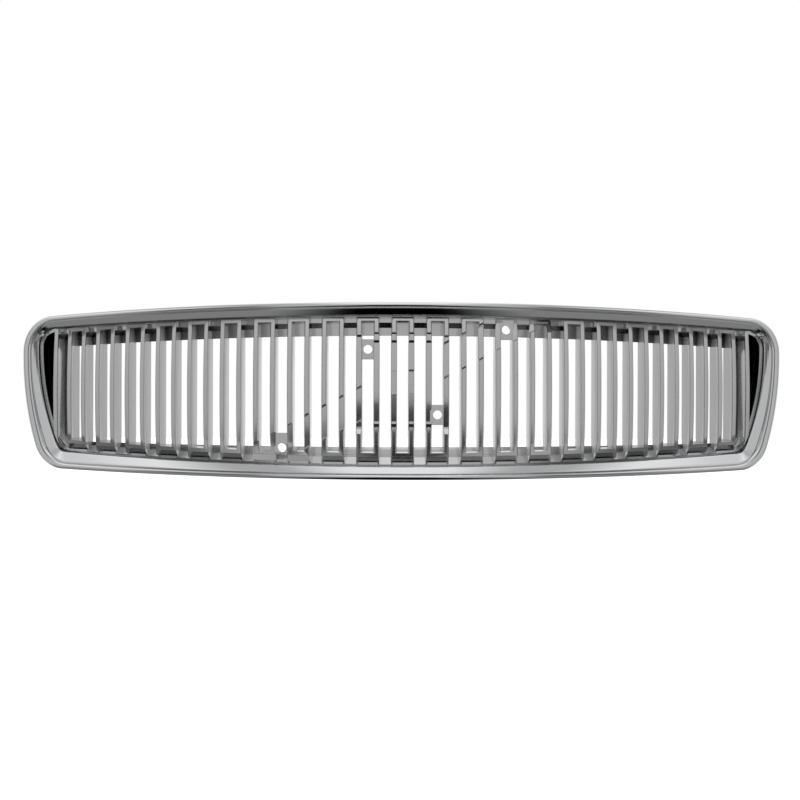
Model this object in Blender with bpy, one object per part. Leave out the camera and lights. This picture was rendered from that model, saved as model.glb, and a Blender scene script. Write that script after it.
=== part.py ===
"""Car front grille: chrome-plated surround, one-piece fin insert, screws and spring clips.

Frame: +X to the right seen from the front, -Y to the front, +Z up, origin at the centre of
the grille's box. All lengths are in metres. "Depth" is measured back from the foremost line
of the surround; the whole grille is swept back in plan along one circle (see sweep()).
"""
import math
from collections import namedtuple

import bmesh
import bpy
from mathutils import Matrix, Vector

# ---- driving dimensions: overall ----
OVERALL_WIDTH = 0.7766
OVERALL_HEIGHT = 0.1702
PLAN_RADIUS = 0.900          # the nose of the car, seen from above
CENTRE_DEPTH = 0.034         # front to back of the surround at the middle
END_DEPTH = 0.028            # front to back of the surround at the two ends
FIT_GAP = 0.0003             # clearance between pieces that touch
SHELL = 0.0024               # moulding thickness of the surround

# ---- surround ----
BEAD_WIDTH = 0.0058          # outer bead along the top and bottom edges
BEAD_SIDE_WIDTH = 0.0105     # outer bead at the two ends
BEAD_ROUND = 0.0050          # depth over which the bead turns into the outer wall
GROOVE_DEPTH = 0.0024
LIP_WIDTH = 0.0068           # second bead and lip, top and bottom
LIP_SIDE_WIDTH = 0.0067
LIP_DEPTH = 0.0062
RETURN_GAP = 0.0050          # the wall that the insert slides into ends before the flange
CORNER_UPPER = 0.035
CORNER_LOWER = 0.034
WINDOW_SIZE = (0.0072, 0.0062)
WINDOW_TURN = math.radians(35.0)

# ---- fin insert ----
HOOPS_PER_SIDE = 10          # hoops left or right of the middle one
LAST_FIN_INSET = 0.0367      # the last fin's centre, in from the end of the grille
FIN_FACE = 0.0039
FIN_SHOULDER = 0.0056
FIN_REAR = 0.0062
SHOULDER_DEPTH = 0.0050
FIN_SETBACK = 0.0060         # fin faces behind the surround's front, at mid height
FIN_SIDE_RADIUS = 0.350      # fin faces are convex in side view
FIN_MARGIN = 0.0008          # fins end this far inside the ring's outer face
FIN_TAIL = 0.0015            # the fins reach this far behind the flange
FIN_TOE = 0.0010             # thickness left where an end fin runs out
CHIN_GAP = 0.0030            # lower ends of the hoops above the insert's edge
CHIN_HEIGHT = 0.0058         # slanted underside of each hoop
CHIN_DEPTH = 0.0075
HOOP_BAR = 0.0037
BRIDGE_SETBACK = 0.0080
BRIDGE_HEIGHT = 0.0050
INSERT_CLEARANCE = 0.0005    # insert to surround, all round
RING_WALL = 0.0040
RING_FRONT = 0.0226          # front edge of the ring behind the hoops
FLANGE_FRONT = 0.0325
FLANGE = 0.0028
RAIL_UPPER = 0.0178          # visible height of the rear rail above the openings
RAIL_LOWER = 0.0173
RAIL_SIDE = 0.0257

# ---- seats for the emblem and its diagonal strip ----
STRIP_SLOPE = math.tan(math.radians(27.5))
STRIP_WIDTH = 0.0275
STRIP_DEPTH = 0.0070
STRIP_END = 0.150            # how far the strip's seat reaches left and right of the middle
SEAT_HEIGHT = 0.0087         # centre of the emblem seat above the origin
SEAT_HALF = 0.0463
SEAT_CORNER = 0.012
SEAT_DEPTH = 0.0030
POCKET_HALF = 0.0382
POCKET_DEPTH = 0.0070
SOCKET_RADIUS = 0.0135
SOCKET_DEPTH = 0.0095
TAB_HEIGHT = 0.0195
TAB_THICKNESS = 0.0026
TAB_SETBACK = 0.0080
TAB_HOLE = 0.0085

# ---- fasteners ----
SCREW_SHANK = 0.0036
SCREW_LENGTH = 0.0130
SCREW_HEAD = 0.0074
SCREW_HEAD_HEIGHT = 0.0024
SCREW_COLUMNS = (0.0, 0.193, 0.3735)     # shares of the overall width
BOSS_WIDTH = 0.0120
BOSS_FRONT = 0.0140
EAR_WIDTH = 0.0110
EAR_THICKNESS = 0.0024
EAR_GAP = 0.0009             # ear to the surround's outer wall
EAR_SIDE_REACH = 0.0030
EAR_ROOT = 0.0035            # onto the flange, past the ring's wall
CLIP_COLUMNS_UPPER = (0.0966, 0.2897)    # shares of the overall width
CLIP_COLUMNS_LOWER = (0.2897,)
BLADE_WIDTH = 0.020
BLADE_LENGTH = 0.020
BLADE_THICKNESS = 0.0030
BLADE_HOLE = 0.0074
CLIP_SHEET = 0.0009
CLIP_WIDTH = 0.0150
CLIP_LENGTH = 0.0165
CLIP_HOLE = 0.0052
CLIP_COLLAR = 0.0078
CLIP_COLLAR_HEIGHT = 0.0030

# ---- mesh fineness: points on each stretch of a half outline ----
OUTLINE_STEPS = (8, 5, 7, 5, 8)
FIN_STEPS = 3

Outline = namedtuple("Outline", "half top bottom top_r bottom_r side_r side_z upper_r lower_r")


def sweep(x):
    """Distance that the plan circle has swept back at x."""
    return PLAN_RADIUS - math.sqrt(PLAN_RADIUS ** 2 - x ** 2)


LAST_GAP = 2 * HOOPS_PER_SIDE + 1      # the gap beside each end loop
LAST_ANGLE = math.asin((OVERALL_WIDTH / 2 - LAST_FIN_INSET) / PLAN_RADIUS)
FIN_PITCH = PLAN_RADIUS * LAST_ANGLE / (LAST_GAP + 0.5)      # measured along the plan circle
RETURN_DEPTH = FLANGE_FRONT - RETURN_GAP
BOSS_REAR = FLANGE_FRONT               # the ears lie on the bosses, level with the flange
FRONT_Y = -(sweep(OVERALL_WIDTH / 2) + END_DEPTH) / 2


def place(x, depth, z):
    """Point at a depth behind the swept front."""
    return Vector((x, FRONT_Y + sweep(x) + depth, z))


# ---------------------------------------------------------------- outlines, seen from the front
OUTER = Outline(OVERALL_WIDTH / 2, OVERALL_HEIGHT / 2, -OVERALL_HEIGHT / 2,
                6.5, 9.5, 0.292, 0.035, CORNER_UPPER, CORNER_LOWER)
GROOVE = Outline(OUTER.half - BEAD_SIDE_WIDTH, OUTER.top - BEAD_WIDTH, OUTER.bottom + BEAD_WIDTH,
                 6.5, 9.0, 0.273, 0.036, CORNER_UPPER - 0.005, CORNER_LOWER - 0.004)
INNER = Outline(GROOVE.half - LIP_SIDE_WIDTH, GROOVE.top - LIP_WIDTH, GROOVE.bottom + LIP_WIDTH,
                7.2, 5.5, 0.231, 0.042, 0.019, 0.011)


def inset(outline, distance):
    """The parallel outline that lies inside by a distance."""
    return Outline(outline.half - distance, outline.top - distance, outline.bottom + distance,
                   outline.top_r - distance, outline.bottom_r - distance,
                   outline.side_r - distance, outline.side_z,
                   outline.upper_r - distance, outline.lower_r - distance)


def blend(first, second, share):
    """The outline part of the way from the first to the second."""
    return Outline(*(a + (b - a) * share for a, b in zip(first, second)))


def arc(centre, radius, start, end, steps):
    """Points on a circle from one angle to another, without the last one."""
    angles = [start + (end - start) * i / steps for i in range(steps)]
    return [(centre[0] + radius * math.cos(a), centre[1] + radius * math.sin(a)) for a in angles]


def fillet_centre(big_centre, big_r, side_centre, side_r, r, sign):
    """Centre of the circle of radius r that touches two larger circles from inside."""
    d1, d2 = big_r - r, side_r - r
    dx, dz = side_centre[0] - big_centre[0], side_centre[1] - big_centre[1]
    gap = math.hypot(dx, dz)
    along = (d1 ** 2 - d2 ** 2 + gap ** 2) / (2 * gap)
    across = math.sqrt(d1 ** 2 - along ** 2)
    ux, uz = dx / gap, dz / gap
    return (big_centre[0] + along * ux - sign * across * uz,
            big_centre[1] + along * uz + sign * across * ux)


def outline_points(o):
    """Closed loop of (x, z) points, clockwise from the top centre."""
    top_c = (0.0, o.top - o.top_r)
    bottom_c = (0.0, o.bottom + o.bottom_r)
    side_c = (o.half - o.side_r, o.side_z)
    up = fillet_centre(top_c, o.top_r, side_c, o.side_r, o.upper_r, -1)
    low = fillet_centre(bottom_c, o.bottom_r, side_c, o.side_r, o.lower_r, 1)
    top_a = math.atan2(up[1] - top_c[1], up[0] - top_c[0])
    side_a = math.atan2(up[1] - side_c[1], up[0] - side_c[0])
    side_b = math.atan2(low[1] - side_c[1], low[0] - side_c[0])
    bottom_a = math.atan2(low[1] - bottom_c[1], low[0] - bottom_c[0])
    n = OUTLINE_STEPS
    half = arc(top_c, o.top_r, math.pi / 2, top_a, n[0])
    half += arc(up, o.upper_r, top_a, side_a, n[1])
    half += arc(side_c, o.side_r, side_a, side_b, n[2])
    half += arc(low, o.lower_r, side_b, bottom_a, n[3])
    half += arc(bottom_c, o.bottom_r, bottom_a, -math.pi / 2, n[4])
    mirrored = [(-x, z) for x, z in reversed(half[1:])]
    return half + [(0.0, o.bottom)] + mirrored


def top_edge(o, x):
    """Height of an outline's upper edge at x."""
    return o.top - o.top_r + math.sqrt(o.top_r ** 2 - x ** 2)


def bottom_edge(o, x):
    """Height of an outline's lower edge at x."""
    return o.bottom + o.bottom_r - math.sqrt(o.bottom_r ** 2 - x ** 2)


def side_edge(o, z):
    """Half width of an outline's side at height z."""
    return o.half - o.side_r + math.sqrt(o.side_r ** 2 - (z - o.side_z) ** 2)


# ---------------------------------------------------------------- mesh helpers
def make_object(name, mesh, material):
    obj = bpy.data.objects.new(name, mesh)
    bpy.context.scene.collection.objects.link(obj)
    if material:
        mesh.materials.append(material)
    return obj


def mesh_from(bm, name):
    bmesh.ops.recalc_face_normals(bm, faces=bm.faces)
    mesh = bpy.data.meshes.new(name)
    bm.to_mesh(mesh)
    bm.free()
    return mesh


def closed_loft(rings):
    """A ring-shaped solid: every ring is a closed loop, and the last joins the first."""
    bm = bmesh.new()
    loops = [[bm.verts.new(p) for p in ring] for ring in rings]
    for first, second in zip(loops, loops[1:] + loops[:1]):
        for i in range(len(first)):
            j = (i + 1) % len(first)
            bm.faces.new((first[i], first[j], second[j], second[i]))
    return bm


def add_loft(bm, sections):
    """A solid through sections with equal numbers of points, closed at both ends."""
    loops = [[bm.verts.new(p) for p in section] for section in sections]
    for first, second in zip(loops, loops[1:]):
        for i in range(len(first)):
            j = (i + 1) % len(first)
            bm.faces.new((first[i], first[j], second[j], second[i]))
    bm.faces.new(loops[0][::-1])
    bm.faces.new(loops[-1])


def add_box(bm, low, high):
    """A box between two corners."""
    size = [b - a for a, b in zip(low, high)]
    centre = [(a + b) / 2 for a, b in zip(low, high)]
    scale = Matrix.Diagonal((*size, 1.0))
    bmesh.ops.create_cube(bm, size=1.0, matrix=Matrix.Translation(centre) @ scale)


def add_rod(bm, centre, axis, radius, length, sides=12):
    """A round rod about an axis (X, Y or Z), centred on a point."""
    turn = {"X": Matrix.Rotation(math.pi / 2, 4, "Y"), "Y": Matrix.Rotation(math.pi / 2, 4, "X"),
            "Z": Matrix.Identity(4)}[axis]
    bmesh.ops.create_cone(bm, cap_ends=True, segments=sides, radius1=radius, radius2=radius,
                          depth=length, matrix=Matrix.Translation(centre) @ turn)


def tool_object(name, bm):
    """An object that only adds to or cuts another one."""
    tool = make_object(name, mesh_from(bm, name), None)
    tool.hide_render = True
    tool.display_type = "WIRE"
    return tool


def combine(obj, tool, operation):
    modifier = obj.modifiers.new(tool.name, "BOOLEAN")
    modifier.operation = operation
    modifier.solver = "EXACT"
    modifier.object = tool


def make_material(name, colour, roughness, metallic):
    material = bpy.data.materials.new(name)
    material.use_nodes = True
    shader = material.node_tree.nodes["Principled BSDF"]
    shader.inputs["Base Color"].default_value = (*colour, 1.0)
    shader.inputs["Roughness"].default_value = roughness
    shader.inputs["Metallic"].default_value = metallic
    return material


# ---------------------------------------------------------------- fastener places
def signed(columns):
    """X of every column and its mirror image, from left to right."""
    return sorted({side * share * OVERALL_WIDTH for share in columns for side in (-1, 1)})


def channel_middle(x, upper):
    """Height of the middle of the surround's channel, above or below the opening."""
    edge = top_edge if upper else bottom_edge
    return (edge(inset(OUTER, SHELL), x) + edge(inset(INNER, -SHELL), x)) / 2


def side_channel_middle(z):
    return (side_edge(inset(OUTER, SHELL), z) + side_edge(inset(INNER, -SHELL), z)) / 2


def screw_places():
    """(x, z, direction towards the opening) of each insert screw."""
    places = [(x, channel_middle(x, True), (0, -1)) for x in signed(SCREW_COLUMNS)]
    places += [(x, channel_middle(x, False), (0, 1)) for x in signed(SCREW_COLUMNS)]
    side_x = side_channel_middle(0.0)
    places += [(-side_x, 0.0, (1, 0)), (side_x, 0.0, (-1, 0))]
    return places


def boss_face(x):
    """Y of the flat rear face of the boss at x."""
    return place(x, BOSS_REAR, 0).y


def clip_places():
    """(x, 1 for the upper edge or -1 for the lower) of each spring clip."""
    return ([(x, 1) for x in signed(CLIP_COLUMNS_UPPER)]
            + [(x, -1) for x in signed(CLIP_COLUMNS_LOWER)])


def rear_depth(x):
    """Depth of the surround's rear edge, shallower towards the ends."""
    share = min(1.0, abs(x) / (OVERALL_WIDTH / 2))
    return CENTRE_DEPTH + (END_DEPTH - CENTRE_DEPTH) * share ** 2


def blade_box(x, side):
    """Corners of the mounting blade: it starts inside the outer wall and runs to the rear."""
    edge = top_edge(OUTER, x) if side > 0 else bottom_edge(OUTER, x)
    outer_z = edge - side * SHELL / 6
    inner_z = outer_z - side * BLADE_THICKNESS
    rear_y = place(x, rear_depth(x), 0).y
    low = (x - BLADE_WIDTH / 2, rear_y - BLADE_LENGTH / 3, min(outer_z, inner_z))
    high = (x + BLADE_WIDTH / 2, rear_y + BLADE_LENGTH, max(outer_z, inner_z))
    return low, high


# ---------------------------------------------------------------- surround
def surround_section():
    """(outline, depth) of each line that runs round the surround; None is the rear edge."""
    lines = [(OUTER, None), (OUTER, BEAD_ROUND)]
    for angle in (40, 80, 120):
        a = math.radians(angle)
        share = (1 - math.cos(a)) / (1 - math.cos(math.radians(150)))
        lines.append((blend(OUTER, GROOVE, share), BEAD_ROUND * (1 - math.sin(a))))
    lines.append((GROOVE, GROOVE_DEPTH))
    lip = ((0.20, 0.0014), (0.45, 0.0024), (0.72, 0.0041))
    lines += [(blend(GROOVE, INNER, share), depth) for share, depth in lip]
    lines += [(INNER, LIP_DEPTH), (INNER, RETURN_DEPTH)]
    hidden = inset(INNER, -SHELL)
    lines += [(hidden, RETURN_DEPTH), (hidden, LIP_DEPTH + SHELL / 2)]
    lines += [(blend(GROOVE, INNER, 0.35), 0.0016 + SHELL * 1.3), (GROOVE, GROOVE_DEPTH + SHELL)]
    lines += [(inset(OUTER, SHELL), BEAD_ROUND + SHELL), (inset(OUTER, SHELL), None)]
    return lines


def ring_of(outline, depth):
    points = outline_points(outline)
    return [place(x, rear_depth(x) if depth is None else depth, z) for x, z in points]


def surround_bosses():
    """Blocks across the channel that take the screws."""
    bm = bmesh.new()
    for x, z, inward in screw_places():
        bite = SHELL / 2
        if inward[0]:
            inner_x = side_edge(inset(INNER, -SHELL), z) - bite
            outer_x = side_edge(inset(OUTER, SHELL), z) + bite
            sign = math.copysign(1, x)
            xs = sorted((sign * inner_x, sign * outer_x))
            zs = (z - BOSS_WIDTH / 2, z + BOSS_WIDTH / 2)
        else:
            edge = top_edge if inward[1] < 0 else bottom_edge
            sign = -inward[1]
            zs = sorted((edge(inset(INNER, -SHELL), x) - sign * bite,
                         edge(inset(OUTER, SHELL), x) + sign * bite))
            xs = (x - BOSS_WIDTH / 2, x + BOSS_WIDTH / 2)
        add_box(bm, (xs[0], place(x, BOSS_FRONT, 0).y, zs[0]), (xs[1], boss_face(x), zs[1]))
    return bm


def surround_blades():
    bm = bmesh.new()
    for x, side in clip_places():
        add_box(bm, *blade_box(x, side))
    return bm


def surround_cuts():
    """Screw holes, blade holes and the two locating windows."""
    bm = bmesh.new()
    for x, z, _ in screw_places():
        centre = (x, boss_face(x), z)
        add_rod(bm, centre, "Y", SCREW_SHANK / 2 + FIT_GAP, 2 * (BOSS_REAR - BOSS_FRONT - SHELL))
    for x, side in clip_places():
        low, high = blade_box(x, side)
        centre = (x, clip_hole_y(x), (low[2] + high[2]) / 2)
        add_rod(bm, centre, "Z", BLADE_HOLE / 2, 3 * BLADE_THICKNESS)
    for sign in (-1, 1):
        add_window(bm, sign)
    return bm


def window_centre():
    """Middle of the locating window, in the lip at the upper corner."""
    lip = outline_points(blend(GROOVE, INNER, 0.5))
    corner = OUTLINE_STEPS[0] + OUTLINE_STEPS[1] // 2
    return lip[corner]


def add_window(bm, sign):
    x, z = window_centre()
    matrix = (Matrix.Translation(place(sign * x, 0.002, z))
              @ Matrix.Rotation(sign * WINDOW_TURN, 4, "Y")
              @ Matrix.Diagonal((WINDOW_SIZE[0], 0.020, WINDOW_SIZE[1], 1.0)))
    bmesh.ops.create_cube(bm, size=1.0, matrix=matrix)


def make_surround(material):
    rings = [ring_of(outline, depth) for outline, depth in surround_section()]
    surround = make_object("surround", mesh_from(closed_loft(rings), "surround"), material)
    combine(surround, tool_object("tool_bosses", surround_bosses()), "UNION")
    combine(surround, tool_object("tool_blades", surround_blades()), "UNION")
    combine(surround, tool_object("tool_surround_cuts", surround_cuts()), "DIFFERENCE")


# ---------------------------------------------------------------- fin insert
INSERT_EDGE = inset(INNER, INSERT_CLEARANCE)
OPENING = Outline(INSERT_EDGE.half - RAIL_SIDE, INSERT_EDGE.top - RAIL_UPPER,
                  INSERT_EDGE.bottom + RAIL_LOWER, 6.7, 20.0, 1.200, 0.042, 0.008, 0.008)


def fin_x(index):
    """X of a fin's centre; the fins stand at equal steps along the plan circle."""
    return PLAN_RADIUS * math.sin(index * FIN_PITCH / PLAN_RADIUS)


def fin_face_depth(z):
    return FIN_SETBACK + z ** 2 / (2 * FIN_SIDE_RADIUS)


def fin_top(x):
    return top_edge(INSERT_EDGE, x) - FIN_MARGIN


def fin_bottom(x):
    return bottom_edge(INSERT_EDGE, x) + CHIN_GAP


def rounded_square_half(x, half, corner):
    """Half height at x of a rounded square, or nothing outside it."""
    if abs(x) >= half:
        return 0.0
    over = abs(x) - (half - corner)
    if over <= 0:
        return half
    return half - corner + math.sqrt(corner ** 2 - over ** 2)


def strip_span(x):
    """(low, high) of the strip's seat at x."""
    middle = SEAT_HEIGHT + STRIP_SLOPE * x
    half = STRIP_WIDTH / 2 * math.hypot(1, STRIP_SLOPE)
    return middle - half, middle + half


def end_sunk(x, upper):
    """How far the strip's seat sets back the upper or lower end of a hoop at x."""
    low, high = strip_span(x)
    middle = fin_bottom(x) + CHIN_HEIGHT + HOOP_BAR / 2
    if upper:
        middle = fin_top(x) - HOOP_BAR / 2
    return STRIP_DEPTH if low < middle < high and abs(x) < STRIP_END else 0.0


def recess_spans(x):
    """(low, high, depth) of each seat that cuts into the fin at x."""
    spans = [(*strip_span(x), STRIP_DEPTH)]
    for half, corner, depth in ((SEAT_HALF, SEAT_CORNER, SEAT_DEPTH),
                                (POCKET_HALF, SEAT_CORNER / 2, POCKET_DEPTH)):
        reach = rounded_square_half(x, half, corner)
        if reach:
            spans.append((SEAT_HEIGHT - reach, SEAT_HEIGHT + reach, depth))
    if abs(x) < SOCKET_RADIUS:
        reach = math.sqrt(SOCKET_RADIUS ** 2 - x ** 2)
        spans.append((SEAT_HEIGHT - reach, SEAT_HEIGHT + reach, SOCKET_DEPTH))
    low = fin_bottom(x)
    if not end_sunk(x, False):
        low += CHIN_HEIGHT + HOOP_BAR
    high = fin_top(x)
    if not end_sunk(x, True):
        high -= HOOP_BAR
    clipped = [(max(a, low), min(b, high), depth) for a, b, depth in spans]
    return [span for span in clipped if span[1] - span[0] > 0.004]


def recess_at(spans, z):
    return max([depth for low, high, depth in spans if low < z < high], default=0.0)


def fin_levels(x, low, high):
    """(height, depth of the face) up a fin, with a short slope at each step of a seat."""
    spans = recess_spans(x)
    slope = 0.0007
    steps = sorted({z for span in spans for z in span[:2] if low < z < high})
    plain = [low + (high - low) * i / FIN_STEPS for i in range(FIN_STEPS + 1)]
    heights = [z for z in plain if all(abs(z - s) > 3 * slope for s in steps)]
    for step in steps:
        heights += [step - slope, step + slope]
    return [(z, fin_face_depth(z) + recess_at(spans, z)) for z in sorted(heights)]


def fin_section(x, z, face_depth):
    """Six points round a fin at one height: narrow face, shoulders, wider rear."""
    sunk = face_depth - fin_face_depth(z)
    share = min(1.0, max(0.0, sunk / SHOULDER_DEPTH))
    face = FIN_FACE + (FIN_SHOULDER - FIN_FACE) * share
    shoulder_depth = face_depth + SHOULDER_DEPTH * (1 - share) + 0.001
    rear = FLANGE_FRONT + FLANGE + FIN_TAIL
    half = [face / 2, FIN_SHOULDER / 2 + 0.0001, FIN_REAR / 2]
    depths = [face_depth, shoulder_depth, rear]
    y0 = FRONT_Y + sweep(x)
    sign = math.copysign(1, x)
    limit = side_edge(INSERT_EDGE, z) - FIN_MARGIN
    inner = [Vector((sign * min(abs(x) - h, limit - FIN_TOE / 2), y0 + d, z))
             for h, d in zip(half, depths)]
    outer = [Vector((sign * min(abs(x) + h, limit), y0 + d, z)) for h, d in zip(half, depths)]
    return inner + outer[::-1]


def add_fin(bm, index):
    """One vertical fin; its lower end slants back as a chin."""
    x = fin_x(index)
    high = fin_top(x)
    low = fin_bottom(x)
    if abs(index) > LAST_GAP:
        low = end_fin_bottom(x)
        levels = fin_levels(x, low, high)
        add_loft(bm, [fin_section(x, z, depth) for z, depth in levels])
        return
    front = low + CHIN_HEIGHT
    levels = fin_levels(x, front, high)
    chin = fin_section(x, low, fin_face_depth(front) + CHIN_DEPTH)
    add_loft(bm, [chin] + [fin_section(x, z, depth) for z, depth in levels])


def end_fin_bottom(x):
    """Height where the end fin has run out into the slanted side or the corner of the ring."""
    side_c = INSERT_EDGE.half - INSERT_EDGE.side_r
    reach = INSERT_EDGE.side_r - FIN_MARGIN
    inner_flank = abs(x) - FIN_REAR / 2 + FIN_TOE
    run_out = INSERT_EDGE.side_z - math.sqrt(reach ** 2 - (inner_flank - side_c) ** 2)
    corner = bottom_edge(INSERT_EDGE, x) + INSERT_EDGE.lower_r * 0.75
    return max(run_out, corner)


def fins():
    bm = bmesh.new()
    for i in range(LAST_GAP + 1):
        for sign in (-1, 1):
            add_fin(bm, sign * (i + 0.5))
    return bm


def add_cross_bar(bm, start, end, z_pair, front, rear):
    """A bar from fin to fin: z_pair gives its lower and upper edges, front its front's depth."""
    sections = []
    for x in (start, end):
        y0 = FRONT_Y + sweep(x)
        z_low, z_high = z_pair(x)
        y_front = y0 + front(x)
        sections.append([Vector((x, y_front, z_low)), Vector((x, y_front, z_high)),
                         Vector((x, y0 + rear, z_high)), Vector((x, y0 + rear, z_low))])
    add_loft(bm, sections)


def cross_bars():
    """Hoop ends and the bridges between hoops."""
    bm = bmesh.new()
    rear = RING_FRONT + (FLANGE_FRONT - RING_FRONT) * 0.6
    for i in range(-LAST_GAP, LAST_GAP + 1):
        start, end = fin_x(i - 0.5) + FIN_TOE, fin_x(i + 0.5) - FIN_TOE
        middle = fin_x(i)
        bar_top = fin_face_depth(fin_top(middle)) + 0.0002
        bar_bottom = fin_face_depth(fin_bottom(middle) + CHIN_HEIGHT) + 0.0002
        if i % 2 == 0:
            add_cross_bar(bm, start, end, lambda x: (fin_top(x) - HOOP_BAR, fin_top(x) - 0.0002),
                          lambda x: bar_top + end_sunk(x, True), rear)
            add_hoop_foot(bm, start, end, bar_bottom, rear)
        else:
            add_cross_bar(bm, start, end,
                          lambda x: (fin_top(x) - BRIDGE_HEIGHT, fin_top(x) - 0.0004),
                          lambda x: bar_top + BRIDGE_SETBACK, rear)
        if i % 2 and abs(i) < LAST_GAP:
            add_cross_bar(bm, start, end,
                          lambda x: (fin_bottom(x) - 0.0012, fin_bottom(x) + CHIN_HEIGHT),
                          lambda x: bar_bottom + BRIDGE_SETBACK, rear)
    return bm


def add_hoop_foot(bm, start, end, face_depth, rear):
    """The lower end of a hoop: a short face and a slanted chin under it."""
    sections = []
    for x in (start, end):
        y0 = FRONT_Y + sweep(x)
        low = fin_bottom(x) + 0.0002
        face = face_depth + end_sunk(x, False)
        outline = [(face_depth + CHIN_DEPTH, low), (face, low + CHIN_HEIGHT),
                   (face, low + CHIN_HEIGHT + HOOP_BAR), (rear, low + CHIN_HEIGHT + HOOP_BAR),
                   (rear, low)]
        sections.append([Vector((x, y0 + depth, z)) for depth, z in outline])
    add_loft(bm, sections)


def tab_places():
    """(fin gap, height of the hole, height of the tab's middle) of the four tabs."""
    beside = 0.0315
    upper_end = fin_top(fin_x(6)) - 0.0108
    lower_end = fin_bottom(fin_x(-7)) + 0.0125
    return [(-2, SEAT_HEIGHT + beside, SEAT_HEIGHT + beside),
            (2, SEAT_HEIGHT - beside, SEAT_HEIGHT - beside),
            (6, upper_end, upper_end), (-7, lower_end, lower_end + TAB_HEIGHT / 4)]


def tabs():
    """Flat tabs between two fins, for the emblem's and the strip's pins."""
    bm = bmesh.new()
    for gap, hole_z, z in tab_places():
        y_front = place(fin_x(gap), fin_face_depth(hole_z) + TAB_SETBACK, 0).y
        add_box(bm, (fin_x(gap - 0.5) + FIN_TOE, y_front, z - TAB_HEIGHT / 2),
                (fin_x(gap + 0.5) - FIN_TOE, y_front + TAB_THICKNESS, z + TAB_HEIGHT / 2))
    return bm


def ring_front(x):
    """Front edge of the ring: behind the hoops, but brought forward as the end loops."""
    share = (abs(x) - fin_x(LAST_GAP)) / (FIN_PITCH * 0.4)
    share = min(1.0, max(0.0, share))
    return RING_FRONT + (fin_face_depth(OVERALL_HEIGHT / 3) - RING_FRONT) * share


def insert_ring():
    """L-shaped ring that carries the fins: a wall inside the surround and a rear flange."""
    inner_wall = inset(INSERT_EDGE, RING_WALL)
    flange_rear = FLANGE_FRONT + FLANGE
    lines = [(INSERT_EDGE, "front"), (INSERT_EDGE, flange_rear), (OPENING, flange_rear),
             (OPENING, FLANGE_FRONT), (inner_wall, FLANGE_FRONT), (inner_wall, "front")]
    rings = []
    for outline, depth in lines:
        points = outline_points(outline)
        rings.append([place(x, ring_front(x) if depth == "front" else depth, z)
                      for x, z in points])
    return closed_loft(rings)


def add_side_ear(bm, x, z, y_front):
    """Ear at an end: its foot reaches forward into the ring, and its blade lies on the boss."""
    sign = math.copysign(1, x)
    root = sign * side_edge(inset(INSERT_EDGE, RING_WALL + EAR_ROOT), z)
    ring_x = sign * (side_edge(INSERT_EDGE, z) - RING_WALL / 4)
    tip = sign * (side_edge(inset(OUTER, SHELL), z) - EAR_SIDE_REACH)
    foot_y = place(root, FLANGE_FRONT + FLANGE / 2, 0).y
    rear_y = y_front + EAR_THICKNESS
    profile = [(root, foot_y), (ring_x, foot_y), (ring_x, y_front), (tip, y_front),
               (tip, rear_y), (root, rear_y)]
    levels = (z - EAR_WIDTH / 2, z + EAR_WIDTH / 2)
    add_loft(bm, [[Vector((px, py, level)) for px, py in profile] for level in levels])


def insert_ears():
    """Flat ears that reach from the flange over the bosses."""
    bm = bmesh.new()
    for x, z, inward in screw_places():
        y_front = boss_face(x) + FIT_GAP
        if inward[0]:
            add_side_ear(bm, x, z, y_front)
            continue
        edge = top_edge if inward[1] < 0 else bottom_edge
        root = edge(inset(INSERT_EDGE, RING_WALL + EAR_ROOT), x)
        tip = edge(inset(OUTER, SHELL + EAR_GAP), x)
        zs = sorted((root, tip))
        add_box(bm, (x - EAR_WIDTH / 2, y_front, zs[0]),
                (x + EAR_WIDTH / 2, y_front + EAR_THICKNESS, zs[1]))
    return bm


def insert_cuts():
    """Clearance holes in the ears and fixing holes in the tabs."""
    bm = bmesh.new()
    for x, z, _ in screw_places():
        add_rod(bm, (x, boss_face(x) + EAR_THICKNESS, z), "Y", SCREW_SHANK / 2 + 0.0006,
                4 * EAR_THICKNESS)
    for gap, z, _ in tab_places():
        front = fin_face_depth(z) + TAB_SETBACK - TAB_THICKNESS
        length = FLANGE_FRONT + 2 * FLANGE - front
        centre = place(fin_x(gap), front + length / 2, z)
        add_rod(bm, centre, "Y", TAB_HOLE / 2, length, 16)
    return bm


def make_fin_insert(material):
    insert = make_object("fin_insert", mesh_from(insert_ring(), "fin_insert"), material)
    combine(insert, tool_object("tool_cross_bars", cross_bars()), "UNION")
    combine(insert, tool_object("tool_fins", fins()), "UNION")
    combine(insert, tool_object("tool_tabs", tabs()), "UNION")
    combine(insert, tool_object("tool_ears", insert_ears()), "UNION")
    combine(insert, tool_object("tool_insert_cuts", insert_cuts()), "DIFFERENCE")


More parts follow.
